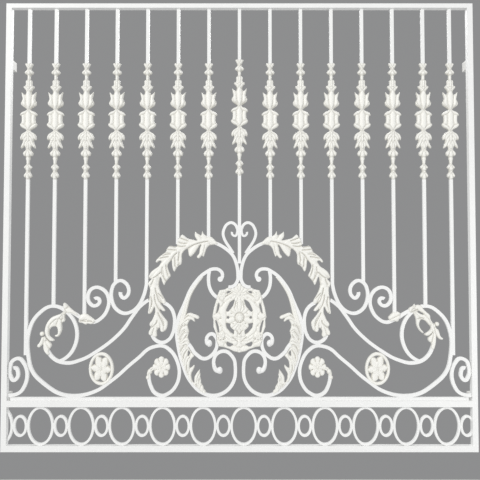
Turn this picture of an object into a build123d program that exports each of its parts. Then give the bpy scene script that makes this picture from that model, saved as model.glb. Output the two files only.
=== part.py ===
"""Wall-mounted wrought and cast iron window grille with a scroll panel and a frieze of rings."""

import os
from math import radians, sqrt, tan

from build123d import *

os.makedirs("parts", exist_ok=True)

# Setting-out, in millimetres
pitch = 112.0               # between the thirteen inner uprights
outer_pitch = 98.0          # from the sixth upright out to the seventh
end_gap = 63.5              # from the seventh upright to the stile's inner face
row = 100.0                 # height of one row of the scroll panel's setting-out
upright_count = 15

# Frame tubes and bars
tube_wall = 2.0
tube_depth = 25.0
stile_width = 20.0
top_rail_height = 16.0
rail_height = 22.0          # middle and bottom rails
bar = 12.0                  # square bar of uprights and scrolls
field_height = 1416.0       # panel bar's top to the top rail's underside
panel_bar_gap = 11.0        # from each end of the panel bar to the stile

# Wall lugs
lug_depth = 40.0
lug_width = 20.0
lug_height = 33.0
upper_lug_rise = 1212.0     # above the panel bar's top
lower_lug_drop = 4.0        # below the panel bar's top

# Ring frieze
ring_field = 137.0          # between the bottom and middle rails
ring_band = 8.5
large_ring_half = 48.0
small_ring_half = 26.0
small_ring_rise = 38.5
ring_lap = 1.1              # how far neighbouring rings run into each other
ring_bite = 0.8             # flat ground on each large ring where it meets a rail
first_ring_out = 26.0       # centre of the first ring, outside the stile's inner face
large_ring_count = 12
small_ring_count = 12

# Castings
ornament_depth = 26.0
ornament_rise = 786.0       # casting's lower end above the panel bar
leaf_depth = 20.0
rosette_depth = 20.0
medallion_plate = 12.0      # open plate that the medallion's rings and boss stand on
medallion_ring = 16.0
medallion_boss = 20.0
eye = 19.0                  # round eye forged on a scroll's end

# Worked-out levels and faces
last = (upright_count - 1) // 2
inner_half = (last - 1) * pitch + outer_pitch + end_gap
centre_x = inner_half + stile_width / 2
panel_z = -upper_lug_rise
top_z = panel_z + field_height + top_rail_height
mid_top_z = panel_z - bar
frieze_top_z = mid_top_z - rail_height
frieze_z = frieze_top_z - ring_field
bottom_z = frieze_z - rail_height
mid_plane = lug_depth + tube_depth / 2

centre = Plane.YZ.offset(centre_x)
tube_face = Plane.XZ.offset(mid_plane)


def spot(u, v):
    """Place on the panel: u counts uprights from the middle, v counts rows above the panel bar."""
    side = 1 if u >= 0 else -1
    inner = min(abs(u), last - 1)
    outer = min(max(abs(u) - (last - 1), 0), 1)
    edge = max(abs(u) - last, 0)
    across = inner * pitch + outer * outer_pitch + edge * end_gap
    return centre_x + side * across, panel_z + v * row


def left_of(direction):
    return Vector(-direction.Y, direction.X).normalized()


def bends_through(run, first=None):
    """Split a smooth run into pairs of tangent arcs: start, direction there and end of each."""
    legs = [b - a for a, b in zip(run, run[1:])]
    inner = [
        (a / a.length**2 + b / b.length**2).normalized() for a, b in zip(legs, legs[1:])
    ]
    if first is None:
        first = legs[0] * (2 * legs[0].dot(inner[0]) / legs[0].dot(legs[0])) - inner[0]
    final = legs[-1] * (2 * legs[-1].dot(inner[-1]) / legs[-1].dot(legs[-1])) - inner[-1]
    ways = [first, *inner, final]
    bends = []
    for start, end, way_in, way_out in zip(run, run[1:], ways, ways[1:]):
        chord = end - start
        along = chord.dot(way_in + way_out)
        turn = 2 * (1 - way_in.dot(way_out))
        if turn < 1e-6:
            reach = chord.dot(chord) / (2 * along)
        else:
            reach = (sqrt(along**2 + turn * chord.dot(chord)) - along) / turn
        before = start + way_in * reach
        after = end - way_out * reach
        knee = (before + after) / 2
        bends.append((start, way_in, knee))
        bends.append((knee, (after - before).normalized(), end))
    return bends


def offset_bend(start, way, end, shift):
    """Three points of the arc that runs beside a bend, shifted to its left."""
    chord = end - start
    sweep = way.get_signed_angle(chord, Vector(0, 0, 1))
    bulge = chord.length / 2 * tan(radians(sweep) / 2)
    middle = (start + end) / 2 - left_of(chord) * bulge
    finish = chord * (2 * chord.dot(way) / chord.dot(chord)) - way
    return (
        start + left_of(way) * shift,
        middle + left_of(chord) * shift,
        end + left_of(finish) * shift,
    )


def bent_bar(points, width=bar, first=None):
    """Outline of a bar of one width, bent along a smooth run through points of the panel."""
    run = [Vector(*spot(u, v)) for u, v in points]
    bends = bends_through(run, first)
    left = [offset_bend(*bend, width / 2) for bend in bends]
    right = [offset_bend(*bend, -width / 2)[::-1] for bend in reversed(bends)]
    with BuildLine(Plane.XY) as outline:
        for begin, middle, end in left + right:
            if (middle - (begin + end) / 2).length < 0.02:
                Line(begin, end)
            else:
                ThreePointArc(begin, middle, end)
        Line(left[-1][2], right[0][0])
        Line(right[-1][2], left[0][0])
    make_face(outline.edges())


def eye_at(u, v, size=eye):
    with Locations(spot(u, v)):
        Circle(size / 2)


def leaflet(width, *places):
    """Pointed blade of a leaf through two or three places, widest at its middle."""
    start, *way, end = [Vector(*spot(u, v)) for u, v in places]
    middle = way[0] if way else (start + end) / 2
    belly = left_of(end - start) * (width / 2)
    with BuildLine(Plane.XY) as blade:
        ThreePointArc(start, middle + belly, end)
        ThreePointArc(end, middle - belly, start)
    make_face(blade.edges())


def lobe(width, *places):
    """Strap of a leaf through three or more places, with a round end."""
    bent_bar(places, width)
    eye_at(*places[-1], width)


def depth_plane(depth):
    """Plane behind a piece of this depth that is centred in the thickness of the frame."""
    return Plane.XZ.offset(mid_plane - depth / 2)


def cope(*carriers):
    """Cut the piece in hand to fit against the pieces that carry it."""
    for carrier in carriers:
        add(carrier.part, mode=Mode.SUBTRACT)


def save(builder, name):
    builder.part.label = name
    export_step(builder.part, f"parts/{name}.step")


# Stiles: square tubes the full height of the grille
stile_height = top_z - bottom_z
with BuildPart() as left_stile:
    with BuildSketch(Plane.XY.offset(bottom_z)):
        with Locations((0, -mid_plane)):
            Rectangle(stile_width, tube_depth)
            Rectangle(stile_width - 2 * tube_wall, tube_depth - 2 * tube_wall, mode=Mode.SUBTRACT)
    extrude(amount=stile_height)
with BuildPart() as right_stile:
    add(left_stile.part.mirror(centre))


# Rails: tubes between the stiles
def rail(level, height):
    with BuildPart() as made:
        with BuildSketch(Plane.YZ.offset(centre_x - inner_half)):
            with Locations((-mid_plane, level + height / 2)):
                Rectangle(tube_depth, height)
                Rectangle(tube_depth - 2 * tube_wall, height - 2 * tube_wall, mode=Mode.SUBTRACT)
        extrude(amount=2 * inner_half)
    return made


top_rail = rail(top_z - top_rail_height, top_rail_height)
mid_rail = rail(mid_top_z - rail_height, rail_height)
bottom_rail = rail(bottom_z, rail_height)

# Panel bar that the scrolls stand on, just short of the stiles
with BuildPart() as panel_bar:
    with BuildSketch(depth_plane(bar)):
        with Locations((centre_x, panel_z - bar / 2)):
            Rectangle(2 * (inner_half - panel_bar_gap), bar)
    extrude(amount=bar)

# Wall lugs behind the stiles, two to a side
with BuildPart() as wall_lugs:
    with BuildSketch(Plane.XZ):
        for lug_z in (0, -upper_lug_rise - lower_lug_drop):
            with Locations((0, lug_z), (2 * centre_x, lug_z)):
                Rectangle(lug_width, lug_height)
    extrude(amount=lug_depth)

# Ring frieze: large and small oval rings in turn, cut off at the stiles
ring_step = 2 * (large_ring_half + small_ring_half - ring_lap)
first_ring_x = centre_x - inner_half - first_ring_out
frieze_mid_z = frieze_z + ring_field / 2
with BuildPart() as ring_frieze:
    with BuildSketch(depth_plane(bar)) as rings:
        large_places = [(first_ring_x + ring_step * k, frieze_mid_z) for k in range(large_ring_count)]
        small_places = [
            (first_ring_x + ring_step * (k + 0.5), frieze_mid_z) for k in range(small_ring_count)
        ]
        large_rise = ring_field / 2 + ring_bite
        with Locations(*large_places):
            Ellipse(large_ring_half, large_rise)
        with Locations(*small_places):
            Ellipse(small_ring_half, small_ring_rise)
        with Locations(*large_places):
            Ellipse(large_ring_half - ring_band, large_rise - ring_band, mode=Mode.SUBTRACT)
        with Locations(*small_places):
            Ellipse(small_ring_half - ring_band, small_ring_rise - ring_band, mode=Mode.SUBTRACT)
        with Locations((centre_x, frieze_mid_z)):
            Rectangle(2 * inner_half, ring_field, mode=Mode.INTERSECT)
    extrude(amount=bar)

# Acanthus arch: a branch of leaves over each side of the panel
arch_spine = [
    (0.82, 5.57), (1.22, 5.55), (1.76, 5.33), (2.22, 4.95), (2.54, 4.48), (2.70, 3.90), (2.70, 3.35),
    (2.67, 2.90),
]
arch_outer_blades = [
    (18, (0.98, 5.52), (1.13, 5.72), (1.20, 5.98)), (20, (1.16, 5.52), (1.34, 5.70), (1.43, 5.95)),
    (16, (1.20, 5.58), (1.60, 5.73), (1.89, 5.82)), (16, (1.28, 5.56), (1.66, 5.62), (2.01, 5.69)),
    (16, (1.40, 5.50), (1.74, 5.50), (2.03, 5.56)), (16, (1.50, 5.44), (1.78, 5.42), (2.02, 5.42)),
    (16, (1.66, 5.38), (2.02, 5.42), (2.30, 5.41)), (16, (1.72, 5.34), (2.08, 5.30), (2.37, 5.29)),
    (18, (1.86, 5.24), (2.20, 5.16), (2.47, 5.11)), (24, (1.98, 5.16), (2.36, 5.02), (2.70, 4.86)),
    (22, (2.48, 4.60), (2.78, 4.28), (2.94, 4.06)), (28, (2.62, 4.34), (2.82, 3.92), (2.92, 3.45)),
]
arch_inner_blades = [
    (16, (1.02, 5.56), (1.14, 5.30), (1.15, 5.07)), (30, (1.24, 5.56), (1.50, 5.32), (1.62, 5.04)),
    (17, (1.72, 5.40), (1.87, 5.08), (1.87, 4.78)), (17, (1.82, 5.32), (1.98, 5.00), (1.97, 4.70)),
    (20, (1.92, 5.24), (2.10, 4.84), (2.12, 4.48)), (16, (2.18, 4.98), (2.28, 4.60), (2.24, 4.36)),
    (16, (2.26, 4.88), (2.38, 4.46), (2.32, 4.18)), (20, (2.34, 4.80), (2.50, 4.34), (2.42, 4.00)),
    (20, (2.62, 4.22), (2.58, 3.74), (2.42, 3.44)),
]
arch_lobes = [
    (20, (2.20, 4.98), (2.56, 4.66), (2.85, 4.38)), (13, (2.72, 3.80), (2.83, 3.40), (2.90, 3.05)),
    (17, (2.70, 3.30), (2.75, 2.86), (2.85, 2.58)), (15, (2.66, 2.96), (2.72, 2.56), (2.85, 2.28)),
    (13, (1.08, 5.54), (1.23, 5.24), (1.31, 5.04)), (14, (2.66, 3.64), (2.60, 3.34), (2.45, 3.12)),
    (24, (2.66, 3.24), (2.54, 2.90), (2.46, 2.50)),
]
with BuildPart() as arch_leaf_right:
    with BuildSketch(depth_plane(leaf_depth)):
        bent_bar(arch_spine, 22)
        for blade in arch_outer_blades + arch_inner_blades:
            leaflet(*blade)
        for blade in arch_lobes:
            lobe(*blade)
    extrude(amount=leaf_depth)

# Lyre scroll, the tall bar that stands beside the middle of the panel
with BuildPart() as lyre_scroll_right:
    with BuildSketch(depth_plane(bar)):
        bent_bar([
            (0.60, 4.23), (0.55, 4.41), (0.66, 4.57), (0.85, 4.60), (1.08, 4.48), (1.51, 3.98),
            (1.78, 3.33), (1.97, 2.80), (2.02, 2.30), (1.96, 1.75), (1.83, 1.18), (1.58, 0.57),
            (1.23, 0.18), (0.86, 0.05), (0.44, 0.20), (0.18, 0.58), (0.13, 0.98), (0.21, 1.42),
            (0.48, 1.64), (0.72, 1.55), (0.83, 1.26), (0.76, 0.99),
        ])
        eye_at(0.62, 4.23)
        eye_at(0.67, 0.95)
    extrude(amount=bar)
    cope(panel_bar)

# Outer scroll, the great S that fills each lower corner
with BuildPart() as outer_scroll_right:
    with BuildSketch(depth_plane(bar)):
        bent_bar([
            (2.91, 0.78), (2.86, 0.43), (2.70, 0.14), (2.50, 0.05), (2.25, 0.15), (2.02, 0.45),
            (1.93, 0.88), (2.00, 1.28), (2.18, 1.62), (2.47, 1.83), (2.75, 1.80), (3.36, 1.30),
            (4.09, 0.60), (4.60, 0.22), (5.20, 0.05), (5.76, 0.12), (6.24, 0.42), (6.74, 0.91),
            (6.92, 1.60), (6.93, 2.15), (6.60, 2.92), (6.03, 3.26), (5.48, 2.96), (5.23, 2.33),
            (5.28, 1.88), (5.48, 1.50), (5.79, 1.28),
        ])
    extrude(amount=bar)
    cope(panel_bar)

# Link scroll, from the top of the outer scroll to its own small curl
with BuildPart() as link_scroll_right:
    with BuildSketch(depth_plane(bar)):
        bent_bar([
            (5.72, 3.20), (5.36, 3.02), (5.02, 2.79), (4.71, 2.68), (4.43, 2.85), (4.26, 3.14),
            (4.21, 3.44), (4.28, 3.71), (4.45, 3.89), (4.62, 3.94), (4.80, 3.85), (4.89, 3.62),
            (4.84, 3.38), (4.70, 3.27), (4.56, 3.32), (4.51, 3.44), (4.57, 3.54), (4.67, 3.52),
        ])
    extrude(amount=bar)
    cope(outer_scroll_right)

# Drop scroll, where the third upright from the middle runs on into a curl
drop_start = 4.10
with BuildPart() as drop_scroll_right:
    with BuildSketch(depth_plane(bar)):
        bent_bar([
            (3.00, drop_start), (3.03, 3.87), (3.12, 3.55), (3.25, 3.28), (3.46, 3.07), (3.72, 3.00),
            (3.98, 3.16), (4.12, 3.48), (4.13, 3.81), (4.04, 4.06), (3.86, 4.18), (3.65, 4.06),
            (3.57, 3.81), (3.63, 3.62), (3.73, 3.55), (3.82, 3.63), (3.84, 3.76),
        ], first=Vector(0, -1))
    extrude(amount=bar)
    cope(arch_leaf_right, link_scroll_right)

# Long scroll, sweeping down from the arch to curl inside the outer scroll
with BuildPart() as long_scroll_right:
    with BuildSketch(depth_plane(bar)):
        bent_bar([
            (2.86, 3.52), (3.18, 3.27), (3.44, 2.90), (3.72, 2.45), (4.09, 2.04), (4.54, 1.67),
            (5.05, 1.35), (5.57, 1.22), (5.88, 1.31), (6.12, 1.54), (6.24, 1.80),
        ])
    extrude(amount=bar)
    cope(arch_leaf_right, drop_scroll_right, outer_scroll_right)

# Edge scroll, between the outer scroll and the stile
with BuildPart() as edge_scroll_right:
    with BuildSketch(depth_plane(bar)):
        bent_bar([
            (8.00, 0.07), (7.62, 0.08), (7.28, 0.18), (7.04, 0.40), (6.94, 0.68), (6.95, 0.96),
            (7.08, 1.20), (7.40, 1.38), (7.69, 1.32), (7.88, 1.04), (7.85, 0.75), (7.65, 0.60),
            (7.45, 0.71), (7.43, 0.90), (7.53, 1.03), (7.67, 1.04),
        ])
    extrude(amount=bar)
    cope(panel_bar, outer_scroll_right, right_stile)

# Leaf scroll, from the arch leaf down and back to its tip
with BuildPart() as leaf_scroll_right:
    with BuildSketch(depth_plane(bar)):
        bent_bar([
            (2.44, 3.38), (2.21, 3.19), (2.10, 2.90), (2.09, 2.60), (2.14, 2.30), (2.27, 2.06),
            (2.48, 1.95), (2.70, 2.04), (2.82, 2.32),
        ])
    extrude(amount=bar)
    cope(arch_leaf_right, lyre_scroll_right, outer_scroll_right)

# Arch bar: foot turned out on the medallion, then up and out to the arch leaf
with BuildPart() as arch_bar_right:
    with BuildSketch(depth_plane(bar)):
        bent_bar([
            (0.36, 3.95), (0.18, 3.99), (0.07, 4.16), (0.05, 4.45), (0.09, 4.75), (0.21, 5.08),
            (0.45, 5.34), (0.76, 5.53), (1.00, 5.60),
        ])
    extrude(amount=bar)
    cope(arch_leaf_right)

# Uprights, from the top rail down to whatever each one lands on
landing = {0: 4.80, 1: 5.60, 2: 5.20, 3: drop_start, 4: 4.10, 5: 2.80, 6: 3.26, 7: 1.50}
ornament_height = 420.0
ornament_z = panel_z + ornament_rise
ornament_lift = {0: 14.0}   # the middle casting sits higher than its neighbours


def twin(right):
    """The same piece for the other side of the grille."""
    with BuildPart() as left:
        add(right.part.mirror(centre))
    return left


arch_leaf_left = twin(arch_leaf_right)
outer_scroll_left = twin(outer_scroll_right)
link_scroll_left = twin(link_scroll_right)
drop_scroll_left = twin(drop_scroll_right)
arch_bar_left = twin(arch_bar_right)
landed_on = {
    1: (arch_bar_right, arch_leaf_right), 2: (arch_leaf_right,), 3: (arch_leaf_right,),
    4: (drop_scroll_right,), 5: (link_scroll_right,), 6: (outer_scroll_right,),
    7: (outer_scroll_right, edge_scroll_right),
}
uprights = {}
for place in range(0, last + 1):
    upright_x, _ = spot(place, 0)
    lower_z = ornament_z + ornament_lift.get(place, 0)
    upper_z = lower_z + ornament_height
    top = panel_z + field_height
    foot = panel_z + landing[place] * row
    with BuildPart() as upright:
        with BuildSketch(depth_plane(bar)):
            with Locations((upright_x, (top + upper_z) / 2)):
                Rectangle(bar, top - upper_z)
            with Locations((upright_x, (lower_z + foot) / 2)):
                Rectangle(bar, lower_z - foot)
        extrude(amount=bar)
        cope(*landed_on.get(place, (arch_bar_right, arch_bar_left)))
    uprights[place] = upright
    if place > 0:
        uprights[-place] = twin(upright)

# Heart scrolls, rising from the foot of the middle upright
with BuildPart() as heart_scroll_right:
    with BuildSketch(depth_plane(bar)):
        bent_bar([
            (0.20, 5.17), (0.31, 5.36), (0.42, 5.54), (0.50, 5.72), (0.53, 5.88), (0.49, 6.07),
            (0.40, 6.22), (0.27, 6.28), (0.15, 6.22), (0.08, 6.06),
        ], bar - 2)
        bent_bar([(0.08, 6.06), (0.08, 5.90), (0.13, 5.80), (0.19, 5.81), (0.24, 5.94)], 8)
    extrude(amount=bar)
    cope(uprights[0], arch_bar_right)

# Medallion: an open plate, drawn as its right half, with a raised ring and a boss
medallion_u, medallion_v = 0.0, 2.85
medallion_eye = 9.0         # small round hole to each side of the boss
medallion_eye_out = 41.0
medallion_edge = [
    (0, 124), (20, 120), (37, 110), (54, 101), (72, 98), (79, 82), (83, 66), (92, 36), (98, 2),
    (94, -8), (94, -34), (84, -60), (82, -84), (75, -104), (56, -107), (38, -113), (20, -122), (0, -126),
]
medallion_openings = [
    [(16, 65), (26, 61), (35, 54), (42, 40), (48, 26), (46, 21), (40, 21), (32, 31), (24, 41), (19, 56)],
    [(49, -19), (33, -23), (33, -33), (29, -39), (20, -45), (20, -61), (31, -54), (46, -37)],
    [(46, -86), (47, -95), (42, -104), (34, -105), (20, -97)],
    [(27, 95), (43, 95), (47, 86), (38, 88)],
    [(73, 60), (80, 38), (84, 15), (81, 15), (75, 28), (72, 42)],
    [(88, -8), (82, -12), (75, -33), (72, -58), (78, -52), (83, -30)],
]


def from_boss(corners, mode=Mode.ADD):
    """Face or opening with these corners, measured from the middle of the medallion's boss."""
    boss_x, boss_z = spot(medallion_u, medallion_v)
    with BuildLine(Plane.XY) as outline:
        Polyline(*[(boss_x + x, boss_z + z) for x, z in corners], close=True)
    make_face(outline.edges(), mode=mode)


with BuildPart() as medallion_half:
    with BuildSketch(depth_plane(medallion_plate)):
        from_boss(medallion_edge)
        for opening in medallion_openings:
            from_boss(opening, Mode.SUBTRACT)
        with Locations(Vector(*spot(medallion_u, medallion_v)) + Vector(medallion_eye_out, 0)):
            Circle(medallion_eye / 2, mode=Mode.SUBTRACT)
    extrude(amount=medallion_plate)
with BuildPart() as medallion:
    add(medallion_half.part)
    add(medallion_half.part.mirror(centre))
    with BuildSketch(depth_plane(medallion_ring)):
        with Locations(spot(medallion_u, medallion_v)):
            Ellipse(67, 82)
            Ellipse(57, 71, mode=Mode.SUBTRACT)
    extrude(amount=medallion_ring)
    with BuildSketch(depth_plane(medallion_boss)):
        with Locations(spot(medallion_u, medallion_v)):
            Ellipse(15, 17)
    extrude(amount=medallion_boss)
    cope(arch_bar_right, arch_bar_left)

# Tie scrolls hold the medallion to the lyre scrolls
with BuildPart() as tie_scroll_right:
    with BuildSketch(depth_plane(bar)):
        bent_bar([(0.97, 4.52), (1.00, 4.20), (0.96, 3.92), (0.85, 3.70), (0.68, 3.55)])
        bent_bar([
            (1.99, 2.30), (1.80, 2.08), (1.61, 1.86), (1.40, 1.54), (1.12, 1.37), (0.88, 1.51),
            (0.72, 1.87), (0.75, 2.13), (0.89, 2.26), (1.03, 2.17), (1.05, 2.00),
        ])
        eye_at(0.99, 1.94)
    extrude(amount=bar)
    cope(lyre_scroll_right, medallion)

# Leaves that climb the inner side of each lyre scroll, and the strap that the scroll widens into
lyre_blades = [
    (20, (1.34, 4.08), (1.71, 3.35), (1.82, 2.50)), (24, (1.95, 2.16), (1.82, 2.34), (1.58, 2.42)),
    (24, (1.94, 1.88), (1.82, 2.08), (1.59, 2.18)), (24, (1.92, 1.62), (1.80, 1.82), (1.57, 1.92)),
    (22, (1.88, 1.26), (1.76, 1.50), (1.62, 1.73)), (20, (1.74, 0.86), (1.62, 1.18), (1.42, 1.47)),
    (16, (1.64, 0.58), (1.54, 0.88), (1.41, 1.13)), (22, (1.26, 0.14), (1.33, 0.60), (1.24, 0.98)),
    (12, (1.34, 0.56), (1.27, 0.66), (1.19, 0.82)), (12, (1.28, 0.38), (1.23, 0.50), (1.16, 0.63)),
    (12, (1.22, 0.20), (1.18, 0.32), (1.10, 0.42)),
]
with BuildPart() as lyre_leaf_right:
    with BuildSketch(depth_plane(leaf_depth)):
        bent_bar([(1.95, 2.40), (1.94, 1.95), (1.89, 1.55), (1.79, 1.12), (1.65, 0.78), (1.50, 0.56)], 24)
        lobe(18, (1.94, 2.30), (1.86, 2.64), (1.67, 2.88), (1.49, 2.91), (1.34, 2.84))
        lobe(13, (1.92, 2.30), (1.78, 2.62), (1.60, 2.77), (1.46, 2.73))
        for blade in lyre_blades:
            leaflet(*blade)
    extrude(amount=leaf_depth)
    cope(lyre_scroll_right, tie_scroll_right, outer_scroll_right)

# Rosette held in an oval ring between the outer and long scrolls
rosette_u, rosette_v = 4.44, 1.01
rosette_petals = 6
rosette_half_width, rosette_half_height = 45.0, 59.0
rosette_band = 8.5
petal_width = 28.0
with BuildPart() as rosette_right:
    with BuildSketch(depth_plane(rosette_depth)):
        rosette_x, rosette_z = spot(rosette_u, rosette_v)
        with Locations((rosette_x, rosette_z)):
            Ellipse(rosette_half_width, rosette_half_height)
            Ellipse(
                rosette_half_width - rosette_band, rosette_half_height - rosette_band, mode=Mode.SUBTRACT
            )
            Circle(13)
        for petal in range(rosette_petals):
            turn = Vector(1, 0).rotate(Axis.Z, 5 + petal * 360 / rosette_petals)
            reach = Vector(
                turn.X * (rosette_half_width - rosette_band / 2),
                turn.Y * (rosette_half_height - rosette_band / 2),
            )
            heart = Vector(rosette_x, rosette_z)
            belly = left_of(reach) * (petal_width / 2)
            with BuildLine(Plane.XY) as petal_line:
                ThreePointArc(heart, heart + reach * 0.6 + belly, heart + reach)
                ThreePointArc(heart + reach, heart + reach * 0.6 - belly, heart)
            make_face(petal_line.edges())
    extrude(amount=rosette_depth)
    cope(outer_scroll_right, long_scroll_right)

# Flower and its bud on the inner end of the outer scroll
flower_u, flower_v = 2.52, 1.05
flower_petals = 8
flower_half_width, flower_half_height = 31.0, 37.5
flower_lobe = 10.5
with BuildPart() as flower_right:
    with BuildSketch(depth_plane(rosette_depth)):
        flower_x, flower_z = spot(flower_u, flower_v)
        with Locations((flower_x, flower_z)):
            Ellipse(flower_half_width - flower_lobe, flower_half_height - flower_lobe)
        for petal in range(flower_petals):
            turn = Vector(1, 0).rotate(Axis.Z, (petal + 0.5) * 360 / flower_petals)
            lobe_x = flower_x + turn.X * (flower_half_width - flower_lobe)
            lobe_z = flower_z + turn.Y * (flower_half_height - flower_lobe)
            with Locations((lobe_x, lobe_z)):
                Circle(flower_lobe)
        lobe(19, (2.66, 1.00), (2.80, 1.01), (2.88, 0.95))
        leaflet(18, (2.88, 1.02), (2.91, 0.66))
    extrude(amount=rosette_depth)
    cope(outer_scroll_right)


# Curling leaf wrapped over the outer scroll's crown: cast alike for both sides but set differently
def crown_leaf(blades, straps):
    with BuildPart() as made:
        with BuildSketch(depth_plane(leaf_depth)):
            for blade in blades:
                leaflet(*blade)
            for strap in straps:
                lobe(*strap)
        extrude(amount=leaf_depth)
        cope(outer_scroll_right, link_scroll_right)
    return made


crown_leaf_right = crown_leaf(
    [
        (18, (5.78, 3.02), (5.70, 3.22), (5.63, 3.42)), (26, (5.64, 3.16), (5.20, 2.90)),
        (24, (5.62, 3.02), (6.02, 2.86), (6.26, 2.48)),
    ],
    [
        (15, (5.50, 3.06), (5.74, 3.12), (5.98, 2.99), (6.14, 2.82), (6.24, 2.62)),
        (11, (5.60, 3.06), (5.72, 2.90), (5.75, 2.66), (5.80, 2.44), (5.90, 2.30)),
        (12, (6.26, 2.60), (6.16, 2.32), (5.98, 2.26)),
    ],
)
crown_leaf_left = twin(crown_leaf(
    [
        (22, (5.54, 2.96), (5.61, 3.20), (5.65, 3.44)), (26, (5.64, 3.22), (5.20, 2.87)),
        (34, (5.60, 3.02), (5.92, 2.64)),
    ],
    [
        (15, (5.58, 3.18), (5.82, 2.94), (6.06, 2.74), (6.20, 2.44), (6.13, 2.16), (5.98, 2.06)),
        (11, (5.64, 3.08), (5.79, 2.84), (5.74, 2.58), (5.78, 2.36), (5.91, 2.20)),
    ],
))


# Bud on the long scroll's end, under the crown leaf
def bud(ball_place, blades, neighbour):
    with BuildPart() as made:
        with BuildSketch(depth_plane(leaf_depth)):
            eye_at(*ball_place)
            for blade in blades:
                leaflet(*blade)
        extrude(amount=leaf_depth)
        cope(long_scroll_right, neighbour)
    return made


bud_right = bud(
    (6.39, 2.58),
    [
        (26, (6.30, 1.72), (6.33, 2.14), (6.30, 2.66)), (17, (6.28, 2.26), (6.18, 2.14), (6.11, 1.98)),
        (14, (6.32, 2.50), (6.46, 2.29), (6.62, 2.08)),
    ],
    crown_leaf_right,
)
bud_left = twin(bud(
    (6.41, 2.25),
    [
        (32, (6.38, 2.30), (6.22, 1.62)), (15, (6.40, 2.16), (6.53, 1.80)),
        (15, (6.30, 2.00), (6.06, 1.78)),
    ],
    twin(crown_leaf_left),
))
with BuildPart() as sheath_right:
    with BuildSketch(depth_plane(leaf_depth)):
        leaflet(30, (5.22, 2.79), (4.67, 2.73))
        leaflet(22, (5.12, 2.99), (4.80, 2.64))
    extrude(amount=leaf_depth)
    cope(link_scroll_right, uprights[5])

# Ornament castings on the uprights: half outline downwards from the top, half width first
ornament_outline = [
    (15, 0), (9, 16), (15, 33), (8, 48), (13, 74), (20, 84), (12, 95), (11, 110), (27, 103),
    (23, 125), (28, 144), (15, 162), (8, 170), (16, 175), (31, 190), (24, 192), (24, 214),
    (28, 223), (20, 238), (8, 245), (21, 257), (31, 279), (21, 278), (27, 311), (13, 300),
    (17, 329), (17, 341), (10, 339), (8, 362), (13, 377), (9, 392), (14, 410), (8, 420),
]
ornament_bulge = [
    (10, 0), (13, 33), (9, 55), (13, 100), (13, 150), (8, 170), (13, 200), (8, 245), (13, 280),
    (9, 340), (12, 400), (9, 420),
]


def both_sides(outline, x, z):
    """Closed run down one side of an upright piece and back up the other."""
    down = [(x + w, z - d) for w, d in outline]
    up = [(x - w, z - d) for w, d in reversed(outline)]
    Polyline(*down, *up, close=True)


# One casting, shaped by its front outline and by how it swells towards front and back
with BuildPart() as ornament:
    with BuildSketch(tube_face):
        with BuildLine() as front_line:
            both_sides(ornament_outline, centre_x, ornament_z + ornament_height)
        make_face(front_line.edges())
    extrude(amount=ornament_depth / 2, both=True)
    with BuildSketch(Plane.YZ.offset(centre_x)):
        with BuildLine() as side_line:
            both_sides(ornament_bulge, -mid_plane, ornament_z + ornament_height)
        make_face(side_line.edges())
    extrude(amount=ornament_depth * 2, both=True, mode=Mode.INTERSECT)


def ornaments(places):
    """The casting again on each of these uprights."""
    with BuildPart() as made:
        for place in places:
            with Locations((spot(place, 0)[0] - centre_x, 0, ornament_lift.get(place, 0))):
                add(ornament.part)
    return made


save(left_stile, "left_stile")
save(right_stile, "right_stile")
save(top_rail, "top_rail")
save(mid_rail, "mid_rail")
save(bottom_rail, "bottom_rail")
save(panel_bar, "panel_bar")
save(wall_lugs, "wall_lugs")
save(ring_frieze, "ring_frieze")
save(medallion, "medallion")
for place, upright in uprights.items():
    save(upright, f"upright_{place + last + 1:02d}")
save(ornaments(range(-7, -2)), "ornaments_left")
save(ornaments(range(-2, 3)), "ornaments_middle")
save(ornaments(range(3, 8)), "ornaments_right")


def save_pair(right, name, left=None):
    save(right, f"{name}_right")
    save(left or twin(right), f"{name}_left")


save_pair(outer_scroll_right, "outer_scroll", outer_scroll_left)
save_pair(long_scroll_right, "long_scroll")
save_pair(lyre_scroll_right, "lyre_scroll")
save_pair(arch_leaf_right, "arch_leaf", arch_leaf_left)


def save_both(right, name, left=None):
    with BuildPart() as both:
        add(right.part)
        add((left or twin(right)).part)
    save(both, name)


save_both(link_scroll_right, "link_scrolls", link_scroll_left)
save_both(drop_scroll_right, "drop_scrolls", drop_scroll_left)
save_both(edge_scroll_right, "edge_scrolls")
save_both(leaf_scroll_right, "leaf_scrolls")
save_both(arch_bar_right, "arch_bars", arch_bar_left)
save_both(heart_scroll_right, "heart_scrolls")
save_both(tie_scroll_right, "tie_scrolls")
save_both(lyre_leaf_right, "lyre_leaves")
save_both(rosette_right, "rosettes")
save_both(flower_right, "flowers")
save_both(crown_leaf_right, "crown_leaves", crown_leaf_left)
save_both(bud_right, "buds", bud_left)
save_both(sheath_right, "sheaths")
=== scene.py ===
# %% [markdown]
# A window grille of white painted iron. Its tubes and bent bars come from the CAD model. What the CAD
# keeps plain is carved here: the castings, which are acanthus leaves, flowers, a medallion and the
# ornaments on the uprights. They could be sculpted by hand, but a script can work as a pattern carver
# does, who saws the outline from a board and then cuts ribs and hollows into it.

# %% Load the frame
from math import cos, exp, pi, radians, sin, sqrt

import bmesh
import bpy
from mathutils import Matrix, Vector
from mathutils.geometry import tessellate_polygon
from mathutils.kdtree import KDTree


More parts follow.
